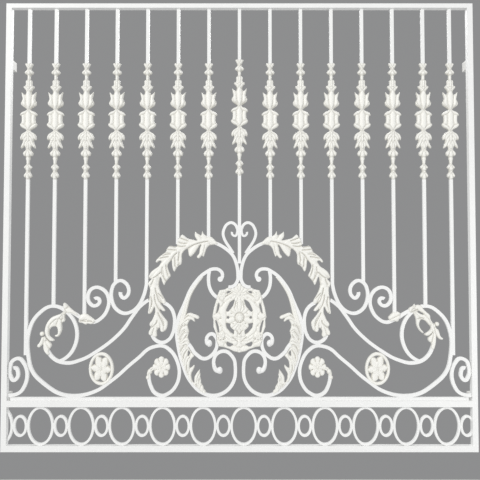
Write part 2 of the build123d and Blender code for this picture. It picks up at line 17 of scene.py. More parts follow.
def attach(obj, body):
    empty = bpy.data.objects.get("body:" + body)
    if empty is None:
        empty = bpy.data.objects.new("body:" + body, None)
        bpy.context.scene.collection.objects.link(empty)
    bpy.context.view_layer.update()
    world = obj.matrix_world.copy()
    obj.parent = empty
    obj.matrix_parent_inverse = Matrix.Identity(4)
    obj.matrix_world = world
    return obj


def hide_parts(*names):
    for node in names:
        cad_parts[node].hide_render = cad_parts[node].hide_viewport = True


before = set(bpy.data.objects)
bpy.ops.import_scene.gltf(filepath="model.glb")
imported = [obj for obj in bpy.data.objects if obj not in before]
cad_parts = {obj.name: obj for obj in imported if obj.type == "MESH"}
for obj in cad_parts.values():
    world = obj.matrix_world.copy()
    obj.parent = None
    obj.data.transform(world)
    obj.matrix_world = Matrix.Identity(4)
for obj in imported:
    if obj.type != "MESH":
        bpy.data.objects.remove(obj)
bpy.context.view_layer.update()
print("CAD nodes:", len(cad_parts))

# %% [markdown]
# Places on the panel are counted as on the real grille: across in uprights from the middle one, and
# up in rows of 100 mm from the bar that the scrolls stand on. The same two numbers then find a place
# on either half of the grille.

# %% Setting-out, in millimetres
pitch = 112.0
outer_pitch = 98.0
end_gap = 63.5
row = 100.0
last = 7
centre_x = 843.5
panel_z = -1212.0
mid_plane = 52.5


def spot(u, v):
    """Place on the panel, in millimetres: u counts uprights from the middle, v counts rows up."""
    side = 1 if u >= 0 else -1
    inner = min(abs(u), last - 1)
    outer = min(max(abs(u) - (last - 1), 0), 1)
    edge = max(abs(u) - last, 0)
    return centre_x + side * (inner * pitch + outer * outer_pitch + edge * end_gap), panel_z + v * row


def on_panel(side, points):
    """Places on one half of the panel, 1 for right and -1 for left."""
    return [spot(side * u, v) for u, v in points]


def to_scene(x, out, z):
    """A place in millimetres across, out from the mid-plane and up, as the scene has it in metres."""
    return x / 1000, -(mid_plane + out) / 1000, z / 1000


def from_scene(place):
    """The same the other way round."""
    return place.x * 1000, -place.y * 1000 - mid_plane, place.z * 1000


print("outermost upright, mm:", spot(last, 0)[0])

# %% [markdown]
# The camera stands about two and a half metres in front of the grille, a little below its middle,
# and looks up slightly, as the photograph's edges show: they run apart downwards.

# %% Camera
frame_pixels = 480
focal_pixels = 692.8


def new_object(name, data):
    """Object of this mesh, lamp or camera, put into the scene."""
    thing = bpy.data.objects.new(name, data)
    bpy.context.collection.objects.link(thing)
    return thing


camera_data = bpy.data.cameras.new("camera")
camera_data.lens = camera_data.sensor_width * focal_pixels / frame_pixels
camera = new_object("camera", camera_data)
camera.location = (0.8455, -2.565, -0.751)
camera.rotation_euler = (radians(92.37), 0, 0)
bpy.context.scene.camera = camera
print("lens, mm:", round(camera_data.lens, 2))

# %% [markdown]
# The background, the paints and the parts that repeat are made of nodes. A script can add, set and
# link each node in lines of their own, which grows long. The two helpers below do all of it in one
# line, so that a tree reads like the list of its parts.

# %% Helpers for nodes


def fill(tree, node, *plugs, **named):
    """Fill a node's inputs, in order or by name, with values or with what other nodes put out.
    A name in lower case is one of the node's own settings, and those are set first."""
    inputs = dict(enumerate(plugs))
    for name, value in named.items():
        if name.islower():
            setattr(node, name, value)
        else:
            inputs[name.replace("_", " ")] = value
    for key, value in inputs.items():
        if isinstance(value, bpy.types.Node):
            value = value.outputs[0]
        if isinstance(value, bpy.types.NodeSocket):
            tree.links.new(value, node.inputs[key])
        else:
            node.inputs[key].default_value = value
    return node


def add(tree, kind, *plugs, **named):
    """New node, filled in the same way."""
    return fill(tree, tree.nodes.new(kind), *plugs, **named)


print("node helpers ready")

# %% [markdown]
# White iron needs a ground a good deal darker than the paint, or its outline is lost. The world
# therefore shows one plain grey wherever it is seen, straight or in a reflection, and lights the
# grille with another, paler one. Light Path tells the two uses apart.

# %% Background
bpy.context.scene.view_settings.view_transform = "Standard"
world = bpy.data.worlds.new("studio")
bpy.context.scene.world = world
world.use_nodes = True
tree = world.node_tree
tree.nodes.clear()
rays = add(tree, "ShaderNodeLightPath").outputs
shown = add(tree, "ShaderNodeMath", rays["Is Camera Ray"], rays["Is Glossy Ray"], operation="MAXIMUM")
shown = add(tree, "ShaderNodeMath", shown, rays["Is Transmission Ray"], operation="MAXIMUM")
glow = add(tree, "ShaderNodeBackground", Color=(0.97, 0.985, 1.0, 1), Strength=0.60)
grey = add(tree, "ShaderNodeBackground", Color=(0.27, 0.272, 0.275, 1))
add(tree, "ShaderNodeOutputWorld", add(tree, "ShaderNodeMixShader", shown, glow, grey))
print("background nodes:", len(tree.nodes))

# %% [markdown]
# One strong soft lamp stands at the upper left, so that every leaf has a lit flank and a shaded one.
# A wide weak one fills from the right, and one behind draws the edges in views from the back.

# %% Lamps
lamps_aim = Vector((0.84, -0.05, -0.6))


def area_light(name, place, size, power, colour=(1.0, 1.0, 1.0)):
    """Round lamp of this size in metres and power in watts, turned to the panel."""
    light = bpy.data.lights.new(name, "AREA")
    light.shape = "DISK"
    light.size = size
    light.energy = power
    light.color = colour
    lamp = new_object(name, light)
    lamp.location = place
    lamp.rotation_euler = (lamps_aim - Vector(place)).to_track_quat("-Z", "Y").to_euler()


area_light("key", (-4.6, -6.2, 3.2), 2.2, 345, (1.0, 0.99, 0.97))
area_light("fill", (3.4, -4.2, -1.3), 2.4, 47)
area_light("back", (1.6, 2.6, 1.4), 2.0, 40)
print("lamps:", len(bpy.data.lights))

# %% [markdown]
# Such a grille hangs, so its floor lies well below it. One flat sheet is enough.

# %% Floor
floor_z = -2.3
floor_mesh = bpy.data.meshes.new("floor")
corners = [(x, y, floor_z) for x, y in ((-3, -3.6), (4.7, -3.6), (4.7, 2.6), (-3, 2.6))]
floor_mesh.from_pydata(corners, [], [(0, 1, 2, 3)])
floor = new_object("floor", floor_mesh)

# %% [markdown]
# The grille is white all over, yet its bars and its castings don't look alike. The bars have smooth
# spray paint, a touch cooler. The castings have rougher paint, and shade is painted into its colour:
# darker and browner in the hollows, valleys and grooves, towards the outlines and down the sides of
# blades and knobs, where less light falls. In the hollows it stands for dust and thick paint as well.
# That painted shade is kept in the mesh, as an attribute that the carving writes, because only the
# carving knows where its hollows are. Both paints have a slow cloud in colour and gloss and a fine
# grain as bump.

# %% Paints
cloud_scale = 9.0
cloud_in_tone = 0.25


def paint(name, high, low, roughness, grain, depth, uses_shade_tone=False):
    """Paint between two colours, with a grain of this scale and this depth in metres."""
    material = bpy.data.materials.new(name)
    material.use_nodes = True
    tree = material.node_tree
    place = add(tree, "ShaderNodeTexCoord").outputs["Object"]
    cloud = add(tree, "ShaderNodeTexNoise", Vector=place, Scale=cloud_scale, Detail=5.0)
    amount = cloud
    if uses_shade_tone:
        # The castings' colour is mixed by the painted shade that the carving writes into the mesh.
        shade_tone = add(tree, "ShaderNodeAttribute", attribute_name="shade_tone").outputs["Fac"]
        amount = add(
            tree, "ShaderNodeMath", cloud, cloud_in_tone, shade_tone, operation="MULTIPLY_ADD", use_clamp=True,
        )
    colour = add(tree, "ShaderNodeMix", data_type="RGBA", Factor=amount, A=(*low, 1), B=(*high, 1))
    fine = add(tree, "ShaderNodeTexNoise", Vector=place, Scale=grain, Detail=4.0)
    bump = add(tree, "ShaderNodeBump", Strength=0.35, Distance=depth, Height=fine)
    spread = add(tree, "ShaderNodeMapRange", Value=cloud, To_Min=roughness - 0.08, To_Max=roughness + 0.10)
    fill(
        tree, tree.nodes["Principled BSDF"], Base_Color=colour.outputs["Result"], Normal=bump,
        Roughness=spread, Coat_Weight=0.15, Coat_Roughness=0.3,
    )
    print("paint:", name)
    return material


bar_paint = paint("bar_paint", (0.93, 0.93, 0.92), (0.85, 0.85, 0.84), 0.42, 260.0, 0.0002)
tube_paint = paint("tube_paint", (0.92, 0.92, 0.91), (0.86, 0.86, 0.85), 0.36, 180.0, 0.0002)
lug_paint = paint("lug_paint", (0.84, 0.84, 0.82), (0.70, 0.69, 0.66), 0.5, 260.0, 0.0003)
# The castings' low colour is their painted shade, darkest in hollows and grooves; the high one is their own
# cream.
casting_paint = paint(
    "casting_paint", (0.905, 0.895, 0.845), (0.40, 0.375, 0.31), 0.5, 420.0, 0.0003, uses_shade_tone=True,
)
floor_paint = paint("floor_paint", (0.62, 0.62, 0.61), (0.58, 0.58, 0.57), 0.8, 60.0, 0.0005)
floor.data.materials.append(floor_paint)

# %% [markdown]
# The tubes, bars and lugs keep their CAD solids, and only get their paint. Tubes are drawn smooth at
# the mill, while bars keep a little of the forge, so they have two finishes.

# %% Paint on the CAD bars
tubes = {"left_stile", "right_stile", "top_rail", "mid_rail", "bottom_rail"}
castings = {
    "arch_leaf_left", "arch_leaf_right", "lyre_leaves", "crown_leaves", "buds", "sheaths",
    "flowers", "rosettes", "medallion", "ornaments_left", "ornaments_middle", "ornaments_right",
}
special = {**dict.fromkeys(tubes, tube_paint), "wall_lugs": lug_paint}
bars = [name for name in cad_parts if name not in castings]
for name in bars:
    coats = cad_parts[name].data.materials
    coats.clear()
    coats.append(special.get(name, bar_paint))
print("CAD nodes painted:", len(bars))

# %% [markdown]
# Every casting starts as a board 5 mm thick, whose surface is cut into even small squares by a voxel
# remesh. The medallion and the rosettes, which nothing crosses, get theirs from a copy of their CAD
# solid, and that keeps their outline exact. The solid itself isn't touched.

# %% Boards
half_board = 2.4
same_place = 0.00002


def plain_mesh(thing, name):
    """The object's mesh with its modifiers worked in; the object itself goes."""
    bpy.context.view_layer.update()
    graph = bpy.context.evaluated_depsgraph_get()
    mesh = bpy.data.meshes.new_from_object(thing.evaluated_get(graph))
    mesh.name = name
    bpy.data.objects.remove(thing)
    return mesh


def turn_outward(mesh):
    """Every face of a mesh of closed skins points outwards."""
    work = bmesh.new()
    work.from_mesh(mesh)
    bmesh.ops.recalc_face_normals(work, faces=work.faces)
    work.to_mesh(mesh)
    work.free()


def even_squares(mesh, square):
    """The mesh cut anew into squares of this size, in millimetres."""
    thing = new_object(mesh.name, mesh)
    squares = thing.modifiers.new("even squares", "REMESH")
    squares.mode = "VOXEL"
    squares.voxel_size = square / 1000
    result = plain_mesh(thing, mesh.name + "_squares")
    print(mesh.name, len(result.vertices), "vertices")
    return result


def board(node, square):
    """Thin even mesh with a node's outline."""
    work = bmesh.new()
    work.from_mesh(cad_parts[node].data)
    bmesh.ops.remove_doubles(work, verts=work.verts, dist=same_place)
    for vert in work.verts:
        x, out, z = from_scene(vert.co)
        vert.co.y = to_scene(x, half_board if out > 0 else -half_board, z)[1]
    mesh = bpy.data.meshes.new(node + "_board")
    work.to_mesh(mesh)
    work.free()
    return even_squares(mesh, square)


# %% [markdown]
# Places along a leaf's ribs are few, so a smooth run is laid through them. The Catmull-Rom rule does
# that without handles, and passes exactly through each place.

# %% Smooth runs


def along(points, count):
    """Smooth run through the points, as pairs of place and direction."""
    points = [Vector(p) for p in points]
    if len(points) == 2:
        points.insert(1, (points[0] + points[1]) / 2)
    ghosts = [2 * points[0] - points[1], *points, 2 * points[-1] - points[-2]]
    spans = len(points) - 1
    run = []
    for i in range(count):
        s = i / (count - 1) * spans
        k = min(int(s), spans - 1)
        t = s - k
        a, b, c, d = ghosts[k:k + 4]
        slope, bend, twist = c - a, 2 * a - 5 * b + 4 * c - d, 3 * b - a - 3 * c + d
        place = 0.5 * (2 * b + slope * t + bend * t**2 + twist * t**3)
        way = 0.5 * (slope + 2 * bend * t + 3 * twist * t**2)
        run.append((place, way.normalized()))
    return run


def places_on(runs, step=2.0):
    """Search tree of places every step mm along the runs, and the run that each belongs to."""
    samples = []
    for owner, run in enumerate(runs):
        length = sum((Vector(b) - Vector(a)).length for a, b in zip(run, run[1:]))
        for place, _ in along(run, max(4, int(length / step))):
            samples.append((place, owner))
    tree = KDTree(max(len(samples), 1))
    for i, (place, _) in enumerate(samples):
        tree.insert((place.x, place.y, 0), i)
    tree.balance()
    return tree, [owner for _, owner in samples]


print("steps on a test run:", len(along([(0, 0), (10, 5), (20, 0)], 8)))

# %% [markdown]
# A leaf that wraps over bars is cut away round them in the CAD, and the slim ornaments need a finer
# edge than their solids have. Such boards are sawn from places along the edge instead, and a second
# loop pierces them.

# %% Boards with a drawn edge


def drawn_board(name, square, *loops):
    """Even mesh of a board with this edge and these holes, each a loop of (x, z) places."""
    smooth = [[place for place, _ in along([*loop, loop[0]], 4 * len(loop))[:-1]] for loop in loops]
    flat = [place for loop in smooth for place in loop]
    count = len(flat)
    points = [to_scene(p.x, out, p.y) for out in (half_board, -half_board) for p in flat]
    front = tessellate_polygon([[(p.x, p.y, 0) for p in loop] for loop in smooth])
    faces = [tuple(corner) for corner in front]
    faces += [tuple(count + k for k in reversed(corner)) for corner in front]
    first = 0
    for loop in smooth:
        for k in range(len(loop)):
            a, b = first + k, first + (k + 1) % len(loop)
            faces.append((a, b, count + b, count + a))
        first += len(loop)
    mesh = bpy.data.meshes.new(name + "_board")
    mesh.from_pydata(points, [], faces)
    turn_outward(mesh)
    return even_squares(mesh, square)


print("drawn boards ready")

# %% [markdown]
# Carving moves the board's front out, more under a rib and less between two ribs, and rounds it
# towards the outline. For each place it finds the two nearest ribs. Where both are as near, a valley
# runs, as between the fingers of an acanthus leaf. Grooves are cut on top of that. Shade is painted
# into each place too, from dark to light with its depth: valleys, grooves and the rounded outline get
# darker painted shade. Widths and heights are in millimetres.

# %% Carving
rib_reach, rib_width, rib_drop = 18.0, 9.0, 0.24
rib_blend, valley_width = 2.0, 1.5
line_width, line_depth = 2.0, 1.2
web_start, web_width = 4, 14
rim_height, bare_crown = 0.30, 0.75
# Painted shade: its strength at the outline and in grooves, and the range it spans.
rim_light, line_shade = 0.35, 0.85
darkest, tone_range, rear_tone = 0.12, 0.95, 0.75


def carve(
    mesh, ribs, grooves=(), stem=None, round_over=4.5, valley=0.45, plain=7.0, back=6.0, both=False,
    sharp=1.0,
):
    """Places, faces and painted shade of a carved board. A rib is (height, run), a groove is a run, and
    valleys fade out near the stem. A low sharp makes the valleys' painted shade pale.
    Both carves the rear as well."""
    places = [Vector(from_scene(v.co)) for v in mesh.vertices]
    rim = [p for p in places if abs(p.y) < 0.5 * half_board]
    outline = KDTree(len(rim))
    for i, p in enumerate(rim):
        outline.insert((p.x, p.z, 0), i)
    outline.balance()
    rib_tree, rib_owner = places_on([run for _, run in ribs])
    groove_tree, _ = places_on(list(grooves))
    stem_tree, _ = places_on([stem] if stem else [])
    points = []
    shade_tones = []
    for p in places:
        share = max(-1.0, min(1.0, p.y / half_board))
        if share < 0 and not both:
            points.append((p.x, share * back, p.z))
            shade_tones.append(rear_tone)
            continue
        flat = (p.x, p.z, 0)
        edge = min(outline.find(flat)[2] / round_over, 1.0)
        dome = sqrt(1 - (1 - edge) ** 2)
        near = {}
        for _, index, distance in rib_tree.find_range(flat, rib_reach):
            owner = rib_owner[index]
            near[owner] = min(distance, near.get(owner, rib_reach))
        ranked = sorted((distance, owner) for owner, distance in near.items())[:2]
        height, cut, crown = plain, 0.0, bare_crown
        if ranked:
            first, owner = ranked[0]
            height = ribs[owner][0]
            crown = 1 - rib_drop * min(first / rib_width, 1.0) ** 2
            if len(ranked) == 2:
                gap = (ranked[1][0] - first) / 2
                blend = 0.5 + 0.5 * min(gap / rib_blend, 1.0)
                height = blend * height + (1 - blend) * ribs[ranked[1][1]][0]
                cut = exp(-(gap / valley_width) ** 2)
        if stem:
            cut *= min(max((stem_tree.find(flat)[2] - web_start) / web_width, 0.0), 1.0)
        line = line_depth * exp(-(groove_tree.find(flat)[2] / line_width) ** 2) if grooves else 0.0
        shape = (rim_height + (1 - rim_height) * dome) * crown * (1 - valley * max(cut, line))
        points.append((p.x, share * height * shape, p.z))
        # Painted shade: darker towards the outline, away from the ribs, in valleys and in grooves.
        light = (rim_light + (1 - rim_light) * dome) * crown * (1 - line_shade * max(sharp * cut, line))
        shade_tones.append(min(1.0, max(0.0, darkest + tone_range * light)))
    return points, [tuple(face.vertices) for face in mesh.polygons], shade_tones


# %% [markdown]
# Some parts of a casting stand proud of the board: straps, stalks, petals and knobs. They are built
# up from closed skins. A blade follows a short run. Across it is domed at the front and nearly flat
# behind. Its root is narrow, its belly wide, its end pointed or round.

# %% Casting
blade_end, knob_top = 0.05, 0.03
crease_width = 0.17
dome_breadth, dome_fullness = 2.6, 0.6


def oval(x, z, half_wide, half_tall, count=36):
    """Places once round an upright oval, the first one again at the end."""
    turns = [2 * pi * k / count for k in range(count + 1)]
    return [(x + half_wide * cos(turn), z + half_tall * sin(turn)) for turn in turns]


class Casting:
    """Skins of one casting, in millimetres across, out and up."""

    def __init__(self):
        self.points = []
        self.faces = []
        self.shade_tones = []

    def take(self, points, faces, shade_tones):
        first = len(self.points)
        self.points += points
        self.shade_tones += shade_tones
        self.faces += [tuple(first + k for k in face) for face in faces]

    def rings(self, rings):
        """Join closed rings of (x, out, z, painted shade) into one skin with both ends closed."""
        size = len(rings[0])
        faces = [tuple(range(size))[::-1]]
        for i in range(len(rings) - 1):
            for j in range(size):
                a = i * size + j
                b = i * size + (j + 1) % size
                faces.append((a, b, b + size, a + size))
        end = (len(rings) - 1) * size
        faces.append(tuple(range(end, end + size)))
        flat = [place for ring in rings for place in ring]
        self.take([place[:3] for place in flat], faces, [place[3] for place in flat])

    def blade(
        self, run, width, rise, lift=0.0, back=5.0, root=0.45, belly=0.55, point=0.8, crease=0.45,
        length_steps=15, width_steps=10,
    ):
        """Leaf-like blade along a run of (x, z) places. Root is the share of its width that it starts
        with, belly the share of its length where it is widest; a low point makes a round end."""
        sections = []
        for i, (place, way) in enumerate(along(run, length_steps)):
            s = i / (length_steps - 1)
            if s < belly:
                swell = root + (1 - root) * sin(pi / 2 * s / belly)
            else:
                swell = max(max(1 - ((s - belly) / (1 - belly)) ** 2, 0.0) ** point, blade_end)
            side = Vector((-way.y, way.x)) * (width / 2 * swell)
            front = []
            rear = []
            for j in range(width_steps + 1):
                t = -1 + 2 * j / width_steps
                groove = crease * exp(-(t / crease_width) ** 2) * min(1.0, 4 * (1 - s))
                shape = max((1 - abs(t) ** dome_breadth) ** dome_fullness * (1 - groove), 0)
                x, z = place + side * t
                # Painted shade: the front darker towards the blade's sides and in its crease.
                front.append((x, lift + rise * (0.3 + 0.7 * swell) * shape, z, 0.15 + 0.85 * shape))
                rear.append((x, -back * (1 - t * t) ** 0.5 * swell ** 0.5, z, 0.8))
            sections.append(front + rear[-2:0:-1])
        self.rings(sections)

    def knob(self, x, z, wide, tall, rise, lift=0.0, both=False, steps=9, around=18, shade_tone=0.95):
        """Oval button with its flat side on the casting, or whole where both is true."""
        sections = []
        low = -pi / 2 if both else -pi / 6
        for i in range(steps + 1):
            angle = low + (pi / 2 - low) * i / steps
            size = max(cos(angle), knob_top)
            out = lift + rise * sin(angle)
            # Painted shade: the knob darker down its sides, lightest on top.
            shade = shade_tone * (0.35 + 0.65 * max(sin(angle), 0))
            ring = oval(x, z, wide / 2 * size, tall / 2 * size, around)[:-1]
            sections.append([(across, out, up, shade) for across, up in ring])
        self.rings(sections)

    def mesh(self, name):
        mesh = bpy.data.meshes.new(name)
        mesh.from_pydata([to_scene(*place) for place in self.points], [], self.faces)
        # The painted shade goes into the mesh as a point attribute.
        shade_tone = mesh.attributes.new("shade_tone", "FLOAT", "POINT")
        shade_tone.data.foreach_set("value", self.shade_tones)
        turn_outward(mesh)
        mesh.polygons.foreach_set("use_smooth", [True] * len(mesh.polygons))
        mesh.materials.append(casting_paint)
        return mesh

    def leaf(self, side, points, width, **more):
        """Blade through places on one side of the panel."""
        self.blade(on_panel(side, points), width, **more)

    def carved_leaf(self, side, name, square, loops, ribs, dark=(), **more):
        """Board that is drawn, and carved, by places on one side of the panel."""
        cut = drawn_board(name, square, *[on_panel(side, loop) for loop in loops])
        ribs = [(high, on_panel(side, run)) for high, run in ribs]
        self.take(*carve(cut, ribs, grooves=[on_panel(side, run) for run in dark], **more))


def settle(name, mesh, *nodes, slot="painted_castings"):
    """Finished piece on the grille's one body, in place of these CAD nodes."""
    piece = new_object(name, mesh)
    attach(piece, "root")
    if nodes:
        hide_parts(*nodes)
    print("piece", name, len(mesh.polygons), "faces")


print("castings to make:", len(castings))

# %% [markdown]
# Beads, small petals and the ornaments repeat, so Geometry Nodes set them out: one master goes in,
# and copies come out at places that a rule gives. The two trees below share these helpers. A value is
# set by its socket's identifier, because the names are only labels.

# %% Helpers for Geometry Nodes


def new_tree(name, **sockets):
    """Node group with a mesh in, these named inputs and a mesh out, and what its inputs give."""
    tree = bpy.data.node_groups.new(name, "GeometryNodeTree")
    for label, kind in {"Geometry": "Geometry", **sockets}.items():
        tree.interface.new_socket(label.replace("_", " "), in_out="INPUT", socket_type="NodeSocket" + kind)
    tree.interface.new_socket("Geometry", in_out="OUTPUT", socket_type="NodeSocketGeometry")
    return tree, add(tree, "NodeGroupInput").outputs


def maths(tree, operation, *plugs):
    """Math node for one operation."""
    return add(tree, "ShaderNodeMath", *plugs, operation=operation)


def finish_tree(tree, instances):
    """Realize the copies, paint them and send them out."""
    real = add(tree, "GeometryNodeRealizeInstances", instances)
    add(tree, "NodeGroupOutput", add(tree, "GeometryNodeSetMaterial", real, Material=casting_paint))


def grow(mesh, tree, **values):
    """Plain mesh that a tree makes of a master mesh, with its named inputs set."""
    thing = new_object(mesh.name + "_master", mesh)
    modifier = thing.modifiers.new(tree.name, "NODES")
    modifier.node_group = tree
    for item in tree.interface.items_tree:
        label = item.name.replace(" ", "_")
        if item.item_type == "SOCKET" and item.in_out == "INPUT" and label in values:
            modifier[item.identifier] = values[label]
    return plain_mesh(thing, mesh.name + "_copies")


print("tree helpers ready")

# %% [markdown]
# Copies about a centre: beads on a ring and petals of a flower. A line of points, all at the centre,
# is turned step by step and each copy is moved out by its own direction. Everything round on this
# grille is an upright oval, so the ring is stretched upwards after the copies are set.

# %% Tree for copies about a centre
about, given = new_tree(
    "copies about a centre", Count="Int", Turn="Float", Half_Width="Float", Half_Height="Float",
    Stretch="Float", Centre="Vector", Size_Change="Float", Seed="Int",
)
line = add(about, "GeometryNodeMeshLine", Count=given["Count"], Offset=(0, 0, 0))
step = maths(about, "DIVIDE", 2 * pi, given["Count"])
angle = maths(about, "MULTIPLY", add(about, "GeometryNodeInputIndex"), step)
angle = maths(about, "ADD", angle, given["Turn"])
across = maths(about, "MULTIPLY", maths(about, "COSINE", angle), given["Half Width"])
upward = maths(about, "MULTIPLY", maths(about, "SINE", angle), given["Half Height"])
place = add(about, "ShaderNodeCombineXYZ", X=across, Z=upward)
points = add(about, "GeometryNodeSetPosition", Geometry=line, Position=place)
turned = add(about, "ShaderNodeCombineXYZ", Y=maths(about, "MULTIPLY", angle, -1))
least = maths(about, "SUBTRACT", 1, given["Size Change"])
most = maths(about, "ADD", 1, given["Size Change"])
size = add(about, "FunctionNodeRandomValue", Min=least, Max=most, Seed=given["Seed"]).outputs["Value"]
copies = add(
    about, "GeometryNodeInstanceOnPoints", Points=points, Instance=given["Geometry"], Rotation=turned,
    Scale=add(about, "ShaderNodeCombineXYZ", size, 1, size),
)
whole = add(about, "GeometryNodeRealizeInstances", copies)
stretch = add(about, "ShaderNodeCombineXYZ", 1, 1, given["Stretch"])
moved = add(about, "GeometryNodeTransform", Geometry=whole, Translation=given["Centre"], Scale=stretch)
finish_tree(about, moved)
print("nodes about a centre:", len(about.nodes))

# %% [markdown]
# The acanthus branch over each side of the panel is the showiest casting: hands of fingers that sweep
# back over the stem outside and hang inside. It grows out of a bar and lies over others, so its board
# is drawn too, once, and turned over for the left. The ribs of the fingers spring from the stem. Their
# valleys fade towards it, as the flesh of such a leaf is webbed there.

# %% Arch leaf
arch_edge = [
    (0.68, 5.49), (0.78, 5.63), (0.91, 5.76), (1.04, 5.79), (1.12, 5.83), (1.17, 5.90), (1.20, 5.98),
    (1.22, 5.90), (1.24, 5.82), (1.32, 5.86), (1.39, 5.91), (1.43, 5.96), (1.45, 5.86), (1.44, 5.76),
    (1.37, 5.63), (1.46, 5.65), (1.66, 5.70), (1.76, 5.77), (1.83, 5.84), (1.89, 5.82), (1.93, 5.74),
    (2.00, 5.66), (2.03, 5.57), (2.03, 5.49), (2.03, 5.41), (2.14, 5.42), (2.25, 5.44), (2.30, 5.40),
    (2.36, 5.31), (2.37, 5.24), (2.51, 5.11), (2.60, 5.03), (2.67, 4.95), (2.71, 4.86), (2.66, 4.83),
    (2.60, 4.89), (2.52, 4.88), (2.57, 4.77), (2.63, 4.68), (2.74, 4.60), (2.84, 4.51), (2.91, 4.39),
    (2.93, 4.30), (2.88, 4.25), (2.79, 4.27), (2.84, 4.23), (2.91, 4.15), (2.95, 4.06), (2.89, 3.89),
    (2.89, 3.74), (2.91, 3.56), (2.92, 3.35), (2.93, 3.19), (2.95, 3.03), (2.92, 2.97), (2.85, 3.01),
    (2.79, 3.11), (2.73, 3.25), (2.72, 3.13), (2.73, 3.00), (2.81, 2.77), (2.88, 2.67), (2.90, 2.58),
    (2.86, 2.49), (2.92, 2.34), (2.92, 2.25), (2.88, 2.21), (2.83, 2.21), (2.73, 2.14), (2.65, 2.20),
    (2.66, 2.37), (2.58, 2.48), (2.55, 2.38), (2.51, 2.33), (2.44, 2.34), (2.37, 2.40), (2.33, 2.50),
    (2.31, 2.64), (2.34, 2.74), (2.49, 2.95), (2.58, 3.16), (2.49, 3.09), (2.43, 3.07), (2.39, 3.12),
    (2.51, 3.30), (2.57, 3.41), (2.49, 3.35), (2.40, 3.34), (2.38, 3.45), (2.51, 3.71), (2.58, 3.90),
    (2.60, 4.06), (2.58, 4.19), (2.58, 4.21), (2.56, 4.32), (2.52, 4.24), (2.49, 4.13), (2.43, 4.01),
    (2.37, 4.14), (2.29, 4.25), (2.22, 4.36), (2.29, 4.55), (2.32, 4.74), (2.20, 4.91), (2.18, 4.74),
    (2.15, 4.58), (2.10, 4.50), (2.03, 4.63), (1.96, 4.72), (1.89, 4.76), (1.86, 4.89), (1.86, 5.11),
    (1.80, 5.24), (1.69, 5.33), (1.66, 5.24), (1.64, 5.11), (1.58, 5.04), (1.46, 5.16), (1.38, 5.29),
    (1.30, 5.43), (1.23, 5.48), (1.28, 5.36), (1.31, 5.16), (1.37, 5.07), (1.37, 5.01), (1.32, 4.98),
    (1.27, 5.01), (1.22, 5.08), (1.16, 5.04), (1.13, 5.12), (1.09, 5.25), (1.06, 5.34), (0.98, 5.44),
    (0.86, 5.47),
]
arch_stem = [
    (0.68, 5.49), (0.90, 5.61), (1.11, 5.62), (1.32, 5.57), (1.53, 5.51), (1.74, 5.41), (1.95, 5.30),
    (2.12, 5.16), (2.30, 4.96), (2.44, 4.77), (2.58, 4.55), (2.72, 4.35), (2.73, 4.19), (2.75, 3.93),
    (2.76, 3.71), (2.72, 3.47), (2.68, 3.25), (2.66, 3.03), (2.66, 2.80), (2.71, 2.64),
]
arch_outside = [
    [(1.11, 5.63), (1.16, 5.77), (1.20, 5.94)], [(1.25, 5.60), (1.37, 5.76), (1.42, 5.93)],
    [(1.46, 5.54), (1.67, 5.65), (1.86, 5.79)], [(1.60, 5.49), (1.80, 5.59), (2.00, 5.65)],
    [(1.67, 5.44), (1.86, 5.47), (2.02, 5.50)], [(1.94, 5.31), (2.11, 5.35), (2.30, 5.36)],
    [(2.00, 5.27), (2.16, 5.24), (2.35, 5.27)], [(2.19, 5.10), (2.37, 5.08), (2.54, 5.04)],
    [(2.30, 4.96), (2.50, 4.94), (2.68, 4.87)], [(2.44, 4.77), (2.61, 4.62), (2.82, 4.44)],
    [(2.73, 4.22), (2.84, 4.13), (2.92, 4.04)], [(2.76, 3.93), (2.84, 3.80), (2.87, 3.63)],
    [(2.76, 3.71), (2.84, 3.50), (2.89, 3.28), (2.93, 3.02)], [(2.72, 3.47), (2.78, 3.28), (2.88, 3.06)],
    [(2.66, 2.95), (2.76, 2.79), (2.86, 2.59)], [(2.68, 2.64), (2.81, 2.46), (2.89, 2.25)],
    [(2.66, 2.62), (2.70, 2.44), (2.74, 2.20)],
]
arch_inside = [
    [(1.13, 5.60), (1.17, 5.36), (1.21, 5.18), (1.34, 5.02)], [(1.06, 5.58), (1.11, 5.33), (1.16, 5.07)],
    [(1.32, 5.57), (1.46, 5.33), (1.58, 5.11)], [(1.80, 5.36), (1.88, 5.11), (1.90, 4.80)],
    [(1.90, 5.32), (2.03, 5.05), (2.02, 4.74)], [(2.02, 5.24), (2.14, 4.93), (2.13, 4.71), (2.10, 4.54)],
    [(2.30, 4.96), (2.32, 4.71), (2.27, 4.39)], [(2.40, 4.82), (2.41, 4.55), (2.35, 4.30)],
    [(2.48, 4.69), (2.51, 4.39), (2.43, 4.04)], [(2.75, 4.01), (2.61, 3.78), (2.49, 3.62), (2.41, 3.38)],
    [(2.76, 3.71), (2.65, 3.47), (2.54, 3.28), (2.43, 3.10)],
    [(2.68, 3.25), (2.54, 3.01), (2.40, 2.80), (2.35, 2.62), (2.40, 2.43)],
    [(2.66, 3.01), (2.54, 2.73), (2.49, 2.50), (2.47, 2.37)], [(2.66, 2.80), (2.60, 2.68), (2.62, 2.52)],
]
